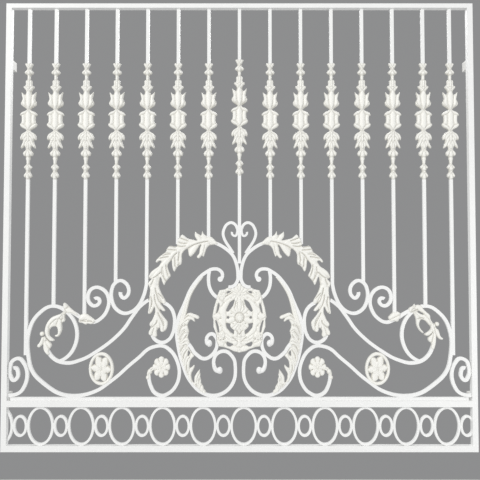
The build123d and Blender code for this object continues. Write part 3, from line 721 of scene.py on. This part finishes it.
arch_dark = [
    [(1.02, 5.60), (1.18, 5.57), (1.35, 5.52), (1.53, 5.44), (1.66, 5.35), (1.74, 5.24)],
    [(1.90, 5.71), (1.77, 5.66), (1.66, 5.62)], [(2.02, 5.60), (1.91, 5.54), (1.80, 5.52), (1.70, 5.53)],
    [(2.01, 5.44), (1.88, 5.41), (1.74, 5.43)], [(2.26, 5.42), (2.15, 5.40), (2.07, 5.38)],
    [(2.33, 5.31), (2.19, 5.29), (2.04, 5.28)], [(2.47, 5.09), (2.35, 5.13), (2.23, 5.14)],
    [(2.55, 4.99), (2.44, 5.02), (2.30, 5.04)], [(1.95, 5.21), (1.96, 5.05), (1.98, 4.90)],
    [(2.10, 5.02), (2.08, 4.86), (2.08, 4.70)], [(1.99, 4.74), (1.93, 4.81)],
    [(2.02, 5.18), (2.12, 5.07), (2.20, 4.91)], [(2.37, 4.74), (2.36, 4.58), (2.30, 4.38)],
    [(2.49, 4.66), (2.50, 4.49), (2.50, 4.41)], [(2.47, 4.36), (2.43, 4.27), (2.38, 4.18)],
    [(2.78, 4.27), (2.67, 4.35), (2.54, 4.48)], [(2.78, 4.22), (2.80, 4.13), (2.85, 4.04)],
    [(2.71, 3.90), (2.67, 3.69), (2.60, 3.46), (2.53, 3.38)],
    [(2.74, 3.66), (2.72, 3.47), (2.66, 3.28), (2.53, 3.03)],
    [(2.62, 3.01), (2.56, 2.86), (2.49, 2.71), (2.44, 2.56)], [(2.61, 3.71), (2.53, 3.63), (2.46, 3.54)],
    [(2.85, 3.59), (2.82, 3.41), (2.84, 3.25)], [(2.65, 2.74), (2.68, 2.64), (2.76, 2.55), (2.83, 2.49)],
]
arch_ribs = [(10.5, arch_stem)] + [(9.5, run) for run in arch_outside + arch_inside]
for side, name in ((1, "arch_leaf_right"), (-1, "arch_leaf_left")):
    branch = Casting()
    branch.carved_leaf(
        side, name, 1.6, [arch_edge], arch_ribs, arch_dark, stem=on_panel(side, arch_stem),
        valley=0.42, plain=8.5, back=5, sharp=0.6,
    )
    settle(name, branch.mesh(name), name)

# %% [markdown]
# Beside the medallion each lyre scroll widens into a strap, and a long leaf climbs the scroll's inner
# side. Its top curls over as a hand, its lobes lie over the tie scroll, which shows through one small
# opening, and a toothed leaf stands at its foot. The strap is a blade with a groove, the leaf a board.

# %% Lyre leaves
strap = [
    (1.20, 4.33), (1.40, 4.06), (1.57, 3.77), (1.67, 3.51), (1.74, 3.23), (1.79, 2.99), (1.86, 2.74),
    (1.94, 2.46),
]
lyre_edge = [
    (1.99, 2.62), (1.90, 2.67), (1.82, 2.79), (1.74, 2.91), (1.68, 2.99), (1.58, 3.02), (1.48, 2.98),
    (1.36, 2.93), (1.30, 2.88), (1.30, 2.82), (1.36, 2.79), (1.45, 2.83), (1.45, 2.79), (1.42, 2.72),
    (1.46, 2.70), (1.52, 2.75), (1.58, 2.77), (1.62, 2.71), (1.66, 2.61), (1.66, 2.52), (1.64, 2.43),
    (1.62, 2.36), (1.64, 2.25), (1.66, 2.16), (1.64, 2.08), (1.62, 2.01), (1.60, 1.94), (1.64, 1.84),
    (1.60, 1.74), (1.56, 1.65), (1.50, 1.56), (1.45, 1.48), (1.52, 1.39), (1.58, 1.29), (1.60, 1.15),
    (1.60, 1.05), (1.54, 1.07), (1.46, 1.15), (1.44, 1.09), (1.48, 0.98), (1.54, 0.85), (1.54, 0.74),
    (1.52, 0.62), (1.45, 0.50), (1.45, 0.61), (1.44, 0.73), (1.38, 0.85), (1.32, 0.94), (1.27, 0.99),
    (1.27, 0.90), (1.25, 0.80), (1.26, 0.73), (1.23, 0.62), (1.23, 0.51), (1.16, 0.39), (1.14, 0.29),
    (1.08, 0.22), (1.08, 0.11), (1.25, 0.19), (1.42, 0.35), (1.58, 0.57), (1.72, 0.87), (1.83, 1.18),
    (1.91, 1.46), (1.96, 1.75), (2.00, 2.03), (2.02, 2.32),
]
lyre_hole = [(1.58, 1.58), (1.64, 1.68), (1.66, 1.55), (1.66, 1.44), (1.62, 1.50)]
lyre_ribs = [
    [(2.00, 2.31), (1.94, 2.58), (1.86, 2.73), (1.74, 2.86), (1.62, 2.95), (1.50, 2.92), (1.34, 2.84)],
    [(2.00, 2.25), (1.92, 2.54), (1.80, 2.71), (1.66, 2.84), (1.54, 2.82), (1.44, 2.72)],
    [(1.96, 2.20), (1.92, 2.41), (1.82, 2.58), (1.74, 2.66), (1.66, 2.71)],
    [(1.95, 2.11), (1.92, 2.31), (1.84, 2.45), (1.74, 2.49), (1.68, 2.43), (1.64, 2.36)],
    [(1.92, 1.98), (1.88, 2.19), (1.82, 2.28), (1.74, 2.34), (1.67, 2.33)],
    [(1.90, 1.93), (1.82, 2.11), (1.74, 2.26), (1.68, 2.24), (1.66, 2.15)],
    [(1.92, 1.79), (1.86, 1.94), (1.76, 2.04), (1.67, 2.07), (1.64, 2.01)],
    [(1.94, 1.69), (1.88, 1.84), (1.80, 1.92), (1.70, 1.94), (1.62, 1.92)],
    [(1.95, 1.56), (1.88, 1.66), (1.80, 1.78), (1.72, 1.83), (1.66, 1.79)],
    [(1.92, 1.43), (1.86, 1.62), (1.80, 1.74), (1.70, 1.82)],
    [(1.86, 1.24), (1.84, 1.49), (1.76, 1.65), (1.67, 1.75)],
    [(1.80, 1.14), (1.76, 1.37), (1.69, 1.54), (1.66, 1.68)],
    [(1.68, 0.82), (1.67, 1.04), (1.64, 1.24), (1.56, 1.37), (1.48, 1.47)],
    [(1.72, 0.94), (1.74, 1.17), (1.72, 1.32), (1.66, 1.43)],
    [(1.58, 0.61), (1.60, 0.80), (1.54, 0.97), (1.48, 1.11)],
    [(1.36, 0.37), (1.40, 0.59), (1.36, 0.80), (1.28, 0.95)],
    [(1.34, 0.34), (1.34, 0.54), (1.30, 0.70), (1.26, 0.79)], [(1.30, 0.33), (1.27, 0.48), (1.24, 0.58)],
    [(1.24, 0.26), (1.20, 0.36), (1.16, 0.36)],
]
lyre_dark = [
    [(1.64, 2.93), (1.74, 2.84), (1.84, 2.71), (1.90, 2.61)], [(1.76, 2.62), (1.74, 2.58), (1.76, 2.55)],
    [(1.82, 2.58), (1.88, 2.48), (1.92, 2.36), (1.93, 2.28)],
    [(1.76, 2.36), (1.80, 2.32), (1.86, 2.22), (1.90, 2.13), (1.90, 2.04)],
    [(1.69, 2.23), (1.74, 2.15), (1.78, 2.08)], [(1.68, 2.00), (1.74, 1.99), (1.80, 1.96)],
    [(1.68, 1.84), (1.72, 1.88), (1.80, 1.82), (1.86, 1.72), (1.88, 1.62)], [(2.02, 2.28), (2.02, 2.13)],
    [(1.80, 1.82), (1.86, 1.70), (1.90, 1.59), (1.88, 1.43)],
    [(1.69, 1.69), (1.76, 1.57), (1.80, 1.47), (1.80, 1.39)], [(1.69, 1.14), (1.70, 1.04), (1.67, 0.87)],
    [(1.66, 0.71), (1.66, 0.65)], [(1.40, 0.46), (1.36, 0.34), (1.26, 0.23)], [(1.30, 0.65), (1.30, 0.58)],
]
lyre = Casting()
for side in (1, -1):
    lyre.carved_leaf(
        side, "lyre_leaf", 1.6, [lyre_edge, lyre_hole], [(9.5, run) for run in lyre_ribs], lyre_dark,
        valley=0.38, plain=9, back=5, sharp=0.5,
    )
    lyre.leaf(side, strap, 20, rise=8.5, root=0.5, belly=0.75, point=0.3, crease=0.3, length_steps=34)
settle("lyre_leaves", lyre.mesh("lyre_leaves"), "lyre_leaves")

# %% [markdown]
# On each great scroll sit a curling leaf, a bud under it and a sheath on the link scroll. The founder
# used the same castings left and right but bent them, so each side has its own edges. All three wrap
# over bars and are pierced or cupped, which is why their boards are drawn.

# %% Crown leaves, on the left and on the right
crown = Casting()
left_edge = [
    (5.65, 3.39), (5.58, 3.34), (5.50, 3.25), (5.40, 3.14), (5.26, 3.02), (5.18, 2.93), (5.28, 2.94),
    (5.40, 3.01), (5.49, 3.00), (5.57, 3.00), (5.61, 2.96), (5.63, 2.85), (5.61, 2.76), (5.65, 2.69),
    (5.72, 2.65), (5.71, 2.43), (5.77, 2.24), (5.84, 2.16), (5.91, 2.16), (5.94, 2.21), (5.86, 2.25),
    (5.84, 2.33), (5.87, 2.49), (5.95, 2.53), (6.05, 2.50), (6.13, 2.41), (6.15, 2.28), (6.12, 2.19),
    (6.03, 2.11), (5.95, 2.03), (6.02, 2.00), (6.14, 2.03), (6.25, 2.18), (6.30, 2.32), (6.28, 2.50),
    (6.22, 2.66), (6.11, 2.81), (6.00, 2.89), (5.88, 2.94), (5.76, 2.99), (5.67, 3.08), (5.66, 3.18),
    (5.68, 3.31),
]
left_ribs = [
    (12, [
        (5.65, 3.35), (5.62, 3.14), (5.76, 2.91), (5.99, 2.77), (6.17, 2.58), (6.23, 2.36), (6.17, 2.17),
        (6.02, 2.05),
    ]),
    (11, [(5.62, 3.10), (5.71, 2.91), (5.79, 2.69), (5.77, 2.42), (5.81, 2.27), (5.90, 2.20)]),
    (11, [(5.67, 2.92), (5.66, 2.83), (5.66, 2.74)]),
    (11, [(5.62, 3.14), (5.48, 3.09), (5.34, 3.02), (5.21, 2.94)]),
    (10, [(5.90, 2.76), (6.02, 2.61), (6.09, 2.50)]),
]
right_edge = [
    (5.64, 3.35), (5.67, 3.29), (5.77, 3.31), (5.87, 3.27), (5.91, 3.18), (6.03, 3.05), (6.15, 2.94),
    (6.17, 2.80), (6.25, 2.66), (6.29, 2.55), (6.27, 2.42), (6.22, 2.29), (6.13, 2.22), (6.02, 2.19),
    (5.94, 2.25), (6.05, 2.32), (6.15, 2.41), (6.18, 2.50), (6.10, 2.60), (6.00, 2.71), (5.91, 2.77),
    (5.84, 2.76), (5.79, 2.66), (5.79, 2.55), (5.84, 2.43), (5.92, 2.33), (5.90, 2.28), (5.80, 2.37),
    (5.73, 2.49), (5.69, 2.63), (5.68, 2.77), (5.65, 2.89), (5.59, 3.00), (5.54, 3.01), (5.47, 3.06),
    (5.46, 3.18), (5.58, 3.26),
]
right_hole = [(5.72, 3.08), (5.78, 3.08), (5.86, 3.03), (5.95, 2.97), (5.89, 2.96), (5.79, 3.01)]
right_ribs = [
    (12, [
        (5.64, 3.33), (5.64, 3.21), (5.78, 3.20), (5.93, 3.09), (6.07, 2.95), (6.14, 2.83), (6.21, 2.66),
        (6.24, 2.53), (6.19, 2.40), (6.05, 2.26),
    ]),
    (11, [(5.59, 3.14), (5.70, 2.99), (5.90, 2.88), (6.04, 2.79), (6.16, 2.63)]),
    (11, [(5.64, 3.05), (5.73, 2.88), (5.74, 2.72), (5.73, 2.55), (5.80, 2.42), (5.90, 2.31)]),
    (12, [(5.48, 3.11), (5.56, 3.18), (5.64, 3.21)]),
]
left_dark = [[(5.78, 2.81), (5.72, 2.77), (5.68, 2.82)]]
right_dark = [[(5.57, 3.07), (5.66, 3.11), (5.73, 3.14)], [(5.74, 2.81), (5.84, 2.84), (5.93, 2.82)]]
for side, loops, ribs, dark in (
    (-1, [left_edge], left_ribs, left_dark), (1, [right_edge, right_hole], right_ribs, right_dark),
):
    crown.carved_leaf(
        side, "crown_leaf", 1.4, loops, ribs, dark, round_over=3.5, valley=0.3, plain=10, back=4, sharp=0.6,
    )
settle("crown_leaves", crown.mesh("crown_leaves"), "crown_leaves")

# %% Buds
left_edge = [
    (6.30, 2.18), (6.23, 2.10), (6.14, 2.00), (6.06, 1.90), (6.05, 1.83), (6.10, 1.74), (6.14, 1.66),
    (6.11, 1.57), (6.16, 1.50), (6.23, 1.54), (6.32, 1.65), (6.35, 1.76), (6.36, 1.88), (6.44, 1.82),
    (6.51, 1.77), (6.57, 1.81), (6.56, 1.87), (6.49, 1.96), (6.44, 2.06), (6.43, 2.12), (6.37, 2.15),
]
left_ribs = [
    (12, [(6.31, 2.14), (6.27, 1.95), (6.22, 1.77), (6.20, 1.58)]),
    (11, [(6.27, 1.99), (6.18, 1.90), (6.10, 1.83)]), (10, [(6.36, 2.11), (6.43, 1.96), (6.53, 1.82)]),
]
right_edge = [
    (6.29, 2.66), (6.36, 2.55), (6.39, 2.46), (6.46, 2.42), (6.50, 2.31), (6.54, 2.18), (6.63, 2.10),
    (6.59, 2.05), (6.48, 2.08), (6.40, 2.16), (6.37, 2.21), (6.37, 2.07), (6.36, 1.95), (6.34, 1.87),
    (6.29, 1.72), (6.17, 1.74), (6.20, 1.90), (6.16, 1.95), (6.09, 2.01), (6.07, 2.09), (6.11, 2.16),
    (6.19, 2.24), (6.23, 2.33), (6.23, 2.43), (6.25, 2.55),
]
right_ribs = [
    (12, [(6.29, 2.61), (6.28, 2.36), (6.31, 2.12), (6.30, 1.90), (6.24, 1.76)]),
    (11, [(6.25, 2.28), (6.19, 2.17), (6.14, 2.05)]), (10, [(6.35, 2.46), (6.42, 2.28), (6.59, 2.08)]),
]
buds = Casting()
for side, edge, ribs, ball in (
    (-1, left_edge, left_ribs, (-6.41, 2.26)), (1, right_edge, right_ribs, (6.42, 2.61)),
):
    buds.carved_leaf(side, "bud", 1.3, [edge], ribs, round_over=3.5, valley=0.35, plain=9, back=5, sharp=0.6)
    buds.knob(*spot(*ball), 17, 17, 9, both=True)
settle("buds", buds.mesh("buds"), "buds")

# %% Sheaths
left_edge = [
    (5.12, 2.95), (5.05, 2.98), (4.96, 3.00), (4.88, 2.95), (4.78, 2.87), (4.70, 2.80), (4.65, 2.74),
    (4.69, 2.65), (4.78, 2.61), (4.89, 2.63), (4.94, 2.59), (5.00, 2.62), (5.08, 2.66), (5.13, 2.66),
    (5.18, 2.71), (5.17, 2.81), (5.13, 2.88),
]
right_edge = [
    (4.79, 2.87), (4.86, 2.95), (4.95, 3.04), (5.04, 3.05), (5.11, 3.06), (5.17, 3.01), (5.18, 2.92),
    (5.15, 2.81), (5.11, 2.71), (5.05, 2.70), (4.95, 2.73), (4.88, 2.70), (4.82, 2.76),
]
left_ribs = [
    (12, [(5.11, 2.81), (4.96, 2.87), (4.81, 2.80), (4.68, 2.71)]),
    (11, [(5.13, 2.69), (5.00, 2.66), (4.88, 2.66), (4.75, 2.65)]),
]
right_ribs = [
    (12, [(4.83, 2.82), (4.96, 2.91), (5.13, 3.01)]), (11, [(4.88, 2.75), (5.01, 2.80), (5.14, 2.87)]),
]
left_dark = [[(5.12, 2.72), (5.03, 2.73), (4.94, 2.71)], [(4.88, 2.71), (4.81, 2.72), (4.75, 2.71)]]
sheaths = Casting()
for side, edge, ribs, dark in ((-1, left_edge, left_ribs, left_dark), (1, right_edge, right_ribs, [])):
    sheaths.carved_leaf(
        side, "sheath", 1.3, [edge], ribs, dark, round_over=3.5, valley=0.25, plain=10, back=4, sharp=0.6,
    )
settle("sheaths", sheaths.mesh("sheaths"), "sheaths")

# %% [markdown]
# Four scrolls under and beside the medallion end in a bud, which the smith draws out of the bar
# itself. The CAD ends them in a ball. A short blade follows the bar's last bend and an oval knob
# swells over the ball, both in the paint of the bars.

# %% Scroll ends
ends = Casting()
for side in (1, -1):
    for run, bud in (
        ([(0.83, 1.15), (0.8, 1.03), (0.74, 0.93), (0.64, 0.9)], (0.63, 0.95)),
        ([(1.05, 2.08), (1.06, 2.0), (1.03, 1.9), (0.96, 1.87)], (0.97, 1.92)),
    ):
        ends.leaf(side, run, 14.5, rise=8.5, back=7.5, root=0.86, belly=0.5, point=0.4, crease=0)
        ends.knob(*spot(side * bud[0], bud[1]), 20.5, 26, 10.5, both=True)
ends_mesh = ends.mesh("scroll_ends")
ends_mesh.materials[0] = bar_paint
settle("scroll_ends", ends_mesh, slot="painted_bar")

# %% [markdown]
# Flowers and rosettes are one idea in two sizes: outer petals from the board, a second row of small
# petals over them, and a beaded button. The second row and the beads come from the tree above.

# %% Small petals, beads and buttons


def petal_ring(name, x, z, count, inner, outer, width, rise, lift, stretch, turn=0.0):
    """Row of like petals about one centre, as a mesh of its own."""
    one = Casting()
    long = [(0, 0), (outer - inner, 0)]
    one.blade(long, width, rise, lift=lift, point=0.45, crease=0.35, length_steps=11, width_steps=8)
    return grow(
        one.mesh(name), about, Count=count, Turn=turn, Half_Width=inner / 1000, Half_Height=inner / 1000,
        Stretch=stretch, Centre=(x / 1000, 0, z / 1000), Size_Change=0.03, Seed=3,
    )


def bead_ring(name, x, z, half_wide, half_tall, count, size, rise, lift):
    """Row of beads on an upright oval, as a mesh of its own."""
    one = Casting()
    one.knob(0, 0, size, size, rise, lift=lift, steps=5, around=10)
    return grow(
        one.mesh(name), about, Count=count, Turn=pi / count, Half_Width=half_wide / 1000,
        Half_Height=half_tall / 1000, Stretch=1.0, Centre=(x / 1000, 0, z / 1000), Size_Change=0.08, Seed=7,
    )


def take_mesh(casting, mesh, soft=1.0):
    """Put a grown mesh, which has its painted shade with it, into a casting; a low soft makes that shade
    paler.
    """
    shade_tones = [0.0] * len(mesh.vertices)
    mesh.attributes["shade_tone"].data.foreach_get("value", shade_tones)
    shade_tones = [1 - soft * (1 - shade_tone) for shade_tone in shade_tones]
    places = [from_scene(v.co) for v in mesh.vertices]
    casting.take(places, [tuple(face.vertices) for face in mesh.polygons], shade_tones)


def button(casting, x, z, wide, tall, rise):
    """Low disc, a smaller one on it, and a ring of eight beads on that."""
    upper, beaded = 0.66, 0.38
    # Painted shade: the low disc darker than the disc on it, a grey rim round the button.
    casting.knob(x, z, wide, tall, rise * 0.75, shade_tone=0.55)
    casting.knob(x, z, wide * upper, tall * upper, rise, shade_tone=1.0)
    beads = bead_ring("button_beads", x, z, wide * beaded, tall * beaded, 8, 3.6, 2.2, rise * 0.62)
    take_mesh(casting, beads)


print("petals, beads and buttons ready")

# %% Flowers
flowers = Casting()
for side in (1, -1):
    x, z = spot(side * 2.51, 1.07)
    turns = [2 * pi * k / 48 for k in range(48)]
    swells = [0.87 + 0.13 * abs(cos(4 * turn)) ** 0.8 for turn in turns]
    edge = [(x + 32 * swell * cos(turn), z + 38 * swell * sin(turn)) for turn, swell in zip(turns, swells)]
    ribs = [
        (8.5, [(x + 6 * cos(turn), z + 7 * sin(turn)), (x + 29 * cos(turn), z + 35 * sin(turn))])
        for turn in turns[::6]
    ]
    flowers.take(*carve(drawn_board("flower", 1.3, edge), ribs, round_over=5, valley=0.5, back=5, sharp=0.8))
    take_mesh(flowers, petal_ring("flower_petals", x, z, 8, 3, 18, 10, 5.5, 4.5, 1.2, turn=pi / 8))
    button(flowers, x, z, 15, 18, 11.5)
    stalk = [(2.66, 1.02), (2.80, 1.01), (2.88, 0.92)]
    tip = [(2.87, 1.00), (2.91, 0.84), (2.91, 0.62)]
    flowers.leaf(side, stalk, 15, rise=8.5, root=0.6, belly=0.6, point=0.4)
    flowers.leaf(side, tip, 15, rise=8.0, root=0.5, belly=0.45, point=0.5)
    flowers.knob(*spot(side * 2.88, 0.91), 18, 19, 10, both=True)
    flowers.knob(*spot(side * 2.94, 0.70), 15, 17, 9, both=True)
settle("flowers", flowers.mesh("flowers"), "flowers")

# %% Rosettes
centres = {side: spot(side * 4.44, 1.01) for side in (1, -1)}


def mirrored(side, degrees):
    """Direction on the right rosette, or its mirror image on the left one."""
    return radians(degrees) if side == 1 else pi - radians(degrees)


ribs = []
for side, (x, z) in centres.items():
    ribs.append((8.0, oval(x, z, 40.7, 54.7)))
    for degrees in range(5, 365, 60):
        turn = mirrored(side, degrees)
        ribs.append((9.0, [(x + 6 * cos(turn), z + 8 * sin(turn)), (x + 33 * cos(turn), z + 44 * sin(turn))]))
rosettes = Casting()
rosettes.take(*carve(board("rosettes", 1.4), ribs, valley=0.6))
for side, (x, z) in centres.items():
    ring = drawn_board("rosette_ring", 1.4, oval(x, z, 45, 59.5)[:-1], oval(x, z, 34, 47)[:-1])
    rosettes.take(*carve(ring, [(8.0, oval(x, z, 39.5, 53.2))], round_over=5, back=5))
    petals = petal_ring("rosette_petals", x, z, 6, 3, 21, 13, 5.5, 4.5, 1.3, turn=mirrored(side, 35))
    take_mesh(rosettes, petals)
    button(rosettes, x, z, 15, 19, 11.5)
settle("rosettes", rosettes.mesh("rosettes"), "rosettes")

# %% [markdown]
# The medallion is an open casting: thin outer bars, an oval ring, and inside it a lily above a round
# boss with a scalloped leaf below. A small rosette sits at each corner and a crest on top. The board
# has every opening already. Thick paint has filled its hollows, so the valleys are shallow and their
# painted shade is pale, and only small pits and a few short lines are painted dark.

# %% Ribs of the medallion
medallion_x, medallion_z = spot(0, 2.85)
half_ribs = [
    (9.5, [(5, 16), (15, 40), (10, 78)]), (9.0, [(8, 14), (22, 30), (20, 44)]),
    (8.0, [(15, 6), (30, 12), (36, 17)]), (8.0, [(15, -4), (28, -8), (36, -12)]),
    (9.0, [(8, -16), (22, -27), (32, -33)]), (9.0, [(7, -24), (18, -40), (26, -46)]),
    (8.5, [(4, -36), (12, -52), (15, -66)]), (8.0, [(6, -76), (26, -80), (46, -66)]),
    (8.0, [(10, -88), (28, -90), (50, -78)]), (7.0, [(4, -116), (30, -110), (54, -100)]),
    (8.0, [(56, -100), (66, -92), (78, -84)]), (8.5, [(58, -84), (66, -80), (76, -70)]),
    (8.5, [(57, -66), (66, -56), (76, -62)]), (9.0, [(52, 80), (62, 70), (72, 78)]),
    (9.0, [(54, 94), (64, 98), (76, 90)]), (9.0, [(5, 92), (10, 104), (14, 118)]),
    (9.0, [(8, 88), (22, 100), (28, 114)]), (8.5, [(10, 84), (30, 90), (46, 104)]),
    (7.5, [(84, 64), (92, 36), (97, 2)]), (7.5, [(93, -8), (92, -34), (84, -58)]),
    (8.5, [(70, 4), (82, 4), (95, 4)]), (7.0, [(50, 66), (40, 72), (24, 80)]),
    (8.5, [(70, 50), (78, 62), (80, 78)]), (8.0, [(68, -34), (74, -56), (80, -76)]),
]
middle_ribs = [
    (10.0, [(0, 16), (0, 50), (0, 94)]), (9.5, [(0, -16), (0, -40), (0, -66)]),
    (9.5, [(0, 92), (0, 108), (0, 123)]), (8.0, [(0, -78), (0, -92), (0, -102)]),
    (7.0, [(0, -112), (0, -118), (0, -125)]),
]
half_lines = [
    [(0, -61), (11, -46)], [(7, -86), (25, -70)], [(78, -70), (68, -79), (51, -76)], [(26, 90), (50, 76)],
    [(12, 58), (17, 36)],
]
pits = [(28, 15), (22, -22), (67, -3), (67, -30), (56, 53), (29, 70), (0, -106)]
half_lines += [[(across - 1, up), (across + 1, up)] for across, up in pits]


def on_medallion(side, run):
    """Places on one half of the medallion, 1 for right and -1 for left."""
    return [(medallion_x + side * across, medallion_z + up) for across, up in run]


medallion_ribs = [(high, on_medallion(side, run)) for side in (1, -1) for high, run in half_ribs]
medallion_ribs += [(high, on_medallion(1, run)) for high, run in middle_ribs]
medallion_ribs.append((8.5, oval(medallion_x, medallion_z, 62, 76.5)))
dark_lines = [on_medallion(side, run) for side in (1, -1) for run in half_lines]
dark_lines.append(oval(medallion_x, medallion_z, 16.8, 18))
print("ribs and dark lines:", len(medallion_ribs), len(dark_lines))

# %% Medallion
medallion = Casting()
cut = board("medallion", 1.4)
medallion.take(*carve(cut, medallion_ribs, grooves=dark_lines, valley=0.4, plain=6.5, sharp=0.4))
for side in (1, -1):
    for x, z in on_medallion(side, [(63, 85), (67, -68)]):
        petals = petal_ring("corner_petals", x, z, 6, 2, 13, 9, 4.5, 6.5, 1.1)
        take_mesh(medallion, petals, soft=0.5)
        medallion.knob(x, z, 7, 8, 12, steps=6, around=12)
medallion.knob(medallion_x, medallion_z, 30, 32, 6, lift=5.5, around=32)
beads = bead_ring("boss_beads", medallion_x, medallion_z, 9, 10, 14, 3, 1.8, 10.3)
take_mesh(medallion, beads, soft=0.7)
settle("medallion", medallion.mesh("medallion"), "medallion")

# %% [markdown]
# Fifteen ornaments thread the uprights: collar, bud, tulip, cartouche, two tiers of drooping leaves,
# bud and two more collars. One board is drawn by its half widths from the top down, and carved front
# and back alike, as the two halves of such a casting are.

# %% Outline and ribs of the ornament, in millimetres across and down from its top
half_edge = [
    (11, -7), (15, -3), (11.5, 4), (8.4, 11), (8.4, 18), (13, 22), (17, 28), (13, 34), (6.8, 38), (6.4, 54),
    (11, 57), (12.3, 64), (11.8, 74), (19.5, 79), (18.5, 85), (11, 94), (10.8, 107), (14, 109), (20, 106),
    (27, 99), (25, 113), (22.6, 127), (26.8, 134), (28.8, 141), (26, 149), (14.5, 158), (7.2, 163.5),
    (10.5, 168), (22, 172.5), (29, 178.5), (31.5, 186), (25.6, 189), (25.5, 210), (30.3, 216), (30.8, 223),
    (23.5, 231), (10, 237.5), (7.6, 242), (12, 246.5), (22.5, 253), (28.5, 262), (29.8, 270), (26.8, 278),
    (19.8, 273), (20.8, 285), (26.5, 301), (25.5, 308), (12.8, 299.5), (9.6, 305), (9.3, 312), (15, 319),
    (19, 326), (14, 336), (9, 333), (8.6, 346), (6.4, 352), (6.4, 366), (10, 370), (15, 377), (8.8, 385),
    (8.8, 395), (15, 405), (13, 413), (7, 415), (6.4, 421),
]
half_sprigs = [
    (11, [(3, 8), (8, 2), (13, -4)]), (11, [(3, 20), (9, 24), (16, 28)]),
    (11, [(8.5, 60), (9, 68), (8, 78)]), (11.5, [(4, 93), (11, 88), (18, 82)]),
    (12, [(7, 160), (17, 150), (21, 130), (26, 103)]), (11.5, [(10, 158), (21, 151), (27, 141)]),
    (12, [(5, 168), (19, 173), (30, 184)]), (11.5, [(22, 190), (21, 201), (22, 212)]),
    (12, [(5, 238), (20, 231), (29, 220)]), (12, [(5, 246), (20, 254), (27.5, 274)]),
    (12, [(6, 256), (15, 266), (20, 282)]), (12, [(7, 270), (17, 288), (25, 305)]),
    (11, [(4, 284), (8, 298), (8, 312)]), (12, [(3, 314), (11, 320), (16, 331)]),
    (11, [(3, 368), (8, 372), (13, 376)]), (11, [(3, 398), (8, 402), (14, 408)]),
]
middle_sprigs = [
    (high, [(0, first), (0, (first + end) / 2), (0, end)])
    for high, first, end in (
        (12, -5, 18), (12.5, 22, 36), (9, 40, 53), (12.5, 58, 78), (13, 84, 160), (12.5, 170, 236),
        (13, 248, 306), (12, 312, 336), (9, 342, 364), (12, 370, 386), (12, 392, 418),
    )
]
ornament_foot = 786
ornament_tall = 420
middle_lift = 14
ornament_top = panel_z + ornament_foot + ornament_tall + middle_lift


def on_ornament(side, run):
    """Places on one half of the middle ornament, 1 for right and -1 for left."""
    return [(centre_x + side * across, ornament_top - down) for across, down in run]


edge = on_ornament(1, half_edge) + on_ornament(-1, half_edge[::-1])
sprigs = [(high, on_ornament(side, run)) for side in (1, -1) for high, run in half_sprigs]
sprigs += [(high, on_ornament(1, run)) for high, run in middle_sprigs]
ornament = Casting()
cut = drawn_board("ornament", 2.0, edge)
ornament.take(*carve(cut, sprigs, round_over=9, valley=0.28, plain=9, both=True, sharp=0.7))
print("one ornament:", len(ornament.faces), "faces")

# %% [markdown]
# The tree for a row of copies has one copy at each point of a line. One point of the row may be
# shifted, because the middle ornament sits a little higher than the rest, and because the outermost
# upright at either side stands closer to its neighbour.

# %% Tree for a row of copies
in_row, given = new_tree(
    "row of copies", Count="Int", Spacing="Float", First_Place="Vector", Odd_One="Int", Odd_Shift="Vector",
)
spacing = add(in_row, "ShaderNodeCombineXYZ", given["Spacing"])
line = add(
    in_row, "GeometryNodeMeshLine", Count=given["Count"], Start_Location=given["First Place"], Offset=spacing,
)
within = 0.1
is_odd = maths(in_row, "COMPARE", add(in_row, "GeometryNodeInputIndex"), given["Odd One"], within)
points = add(in_row, "GeometryNodeSetPosition", Geometry=line, Selection=is_odd, Offset=given["Odd Shift"])
finish_tree(in_row, add(in_row, "GeometryNodeInstanceOnPoints", Points=points, Instance=given["Geometry"]))
print("nodes in a row:", len(in_row.nodes))

# %% Ornaments on the uprights
closer = (pitch - outer_pitch) / 1000
lifted = middle_lift / 1000
for name, first, odd_one, odd_shift in (
    ("ornaments_left", -last, 0, (closer, 0, 0)),
    ("ornaments_middle", -2, 2, (0, 0, lifted)),
    ("ornaments_right", 3, 4, (-closer, 0, 0)),
):
    copied = grow(
        ornament.mesh(name), in_row, Count=5, Spacing=pitch / 1000, Odd_One=odd_one, Odd_Shift=odd_shift,
        First_Place=(first * pitch / 1000, 0, -lifted),
    )
    settle(name, copied, name)
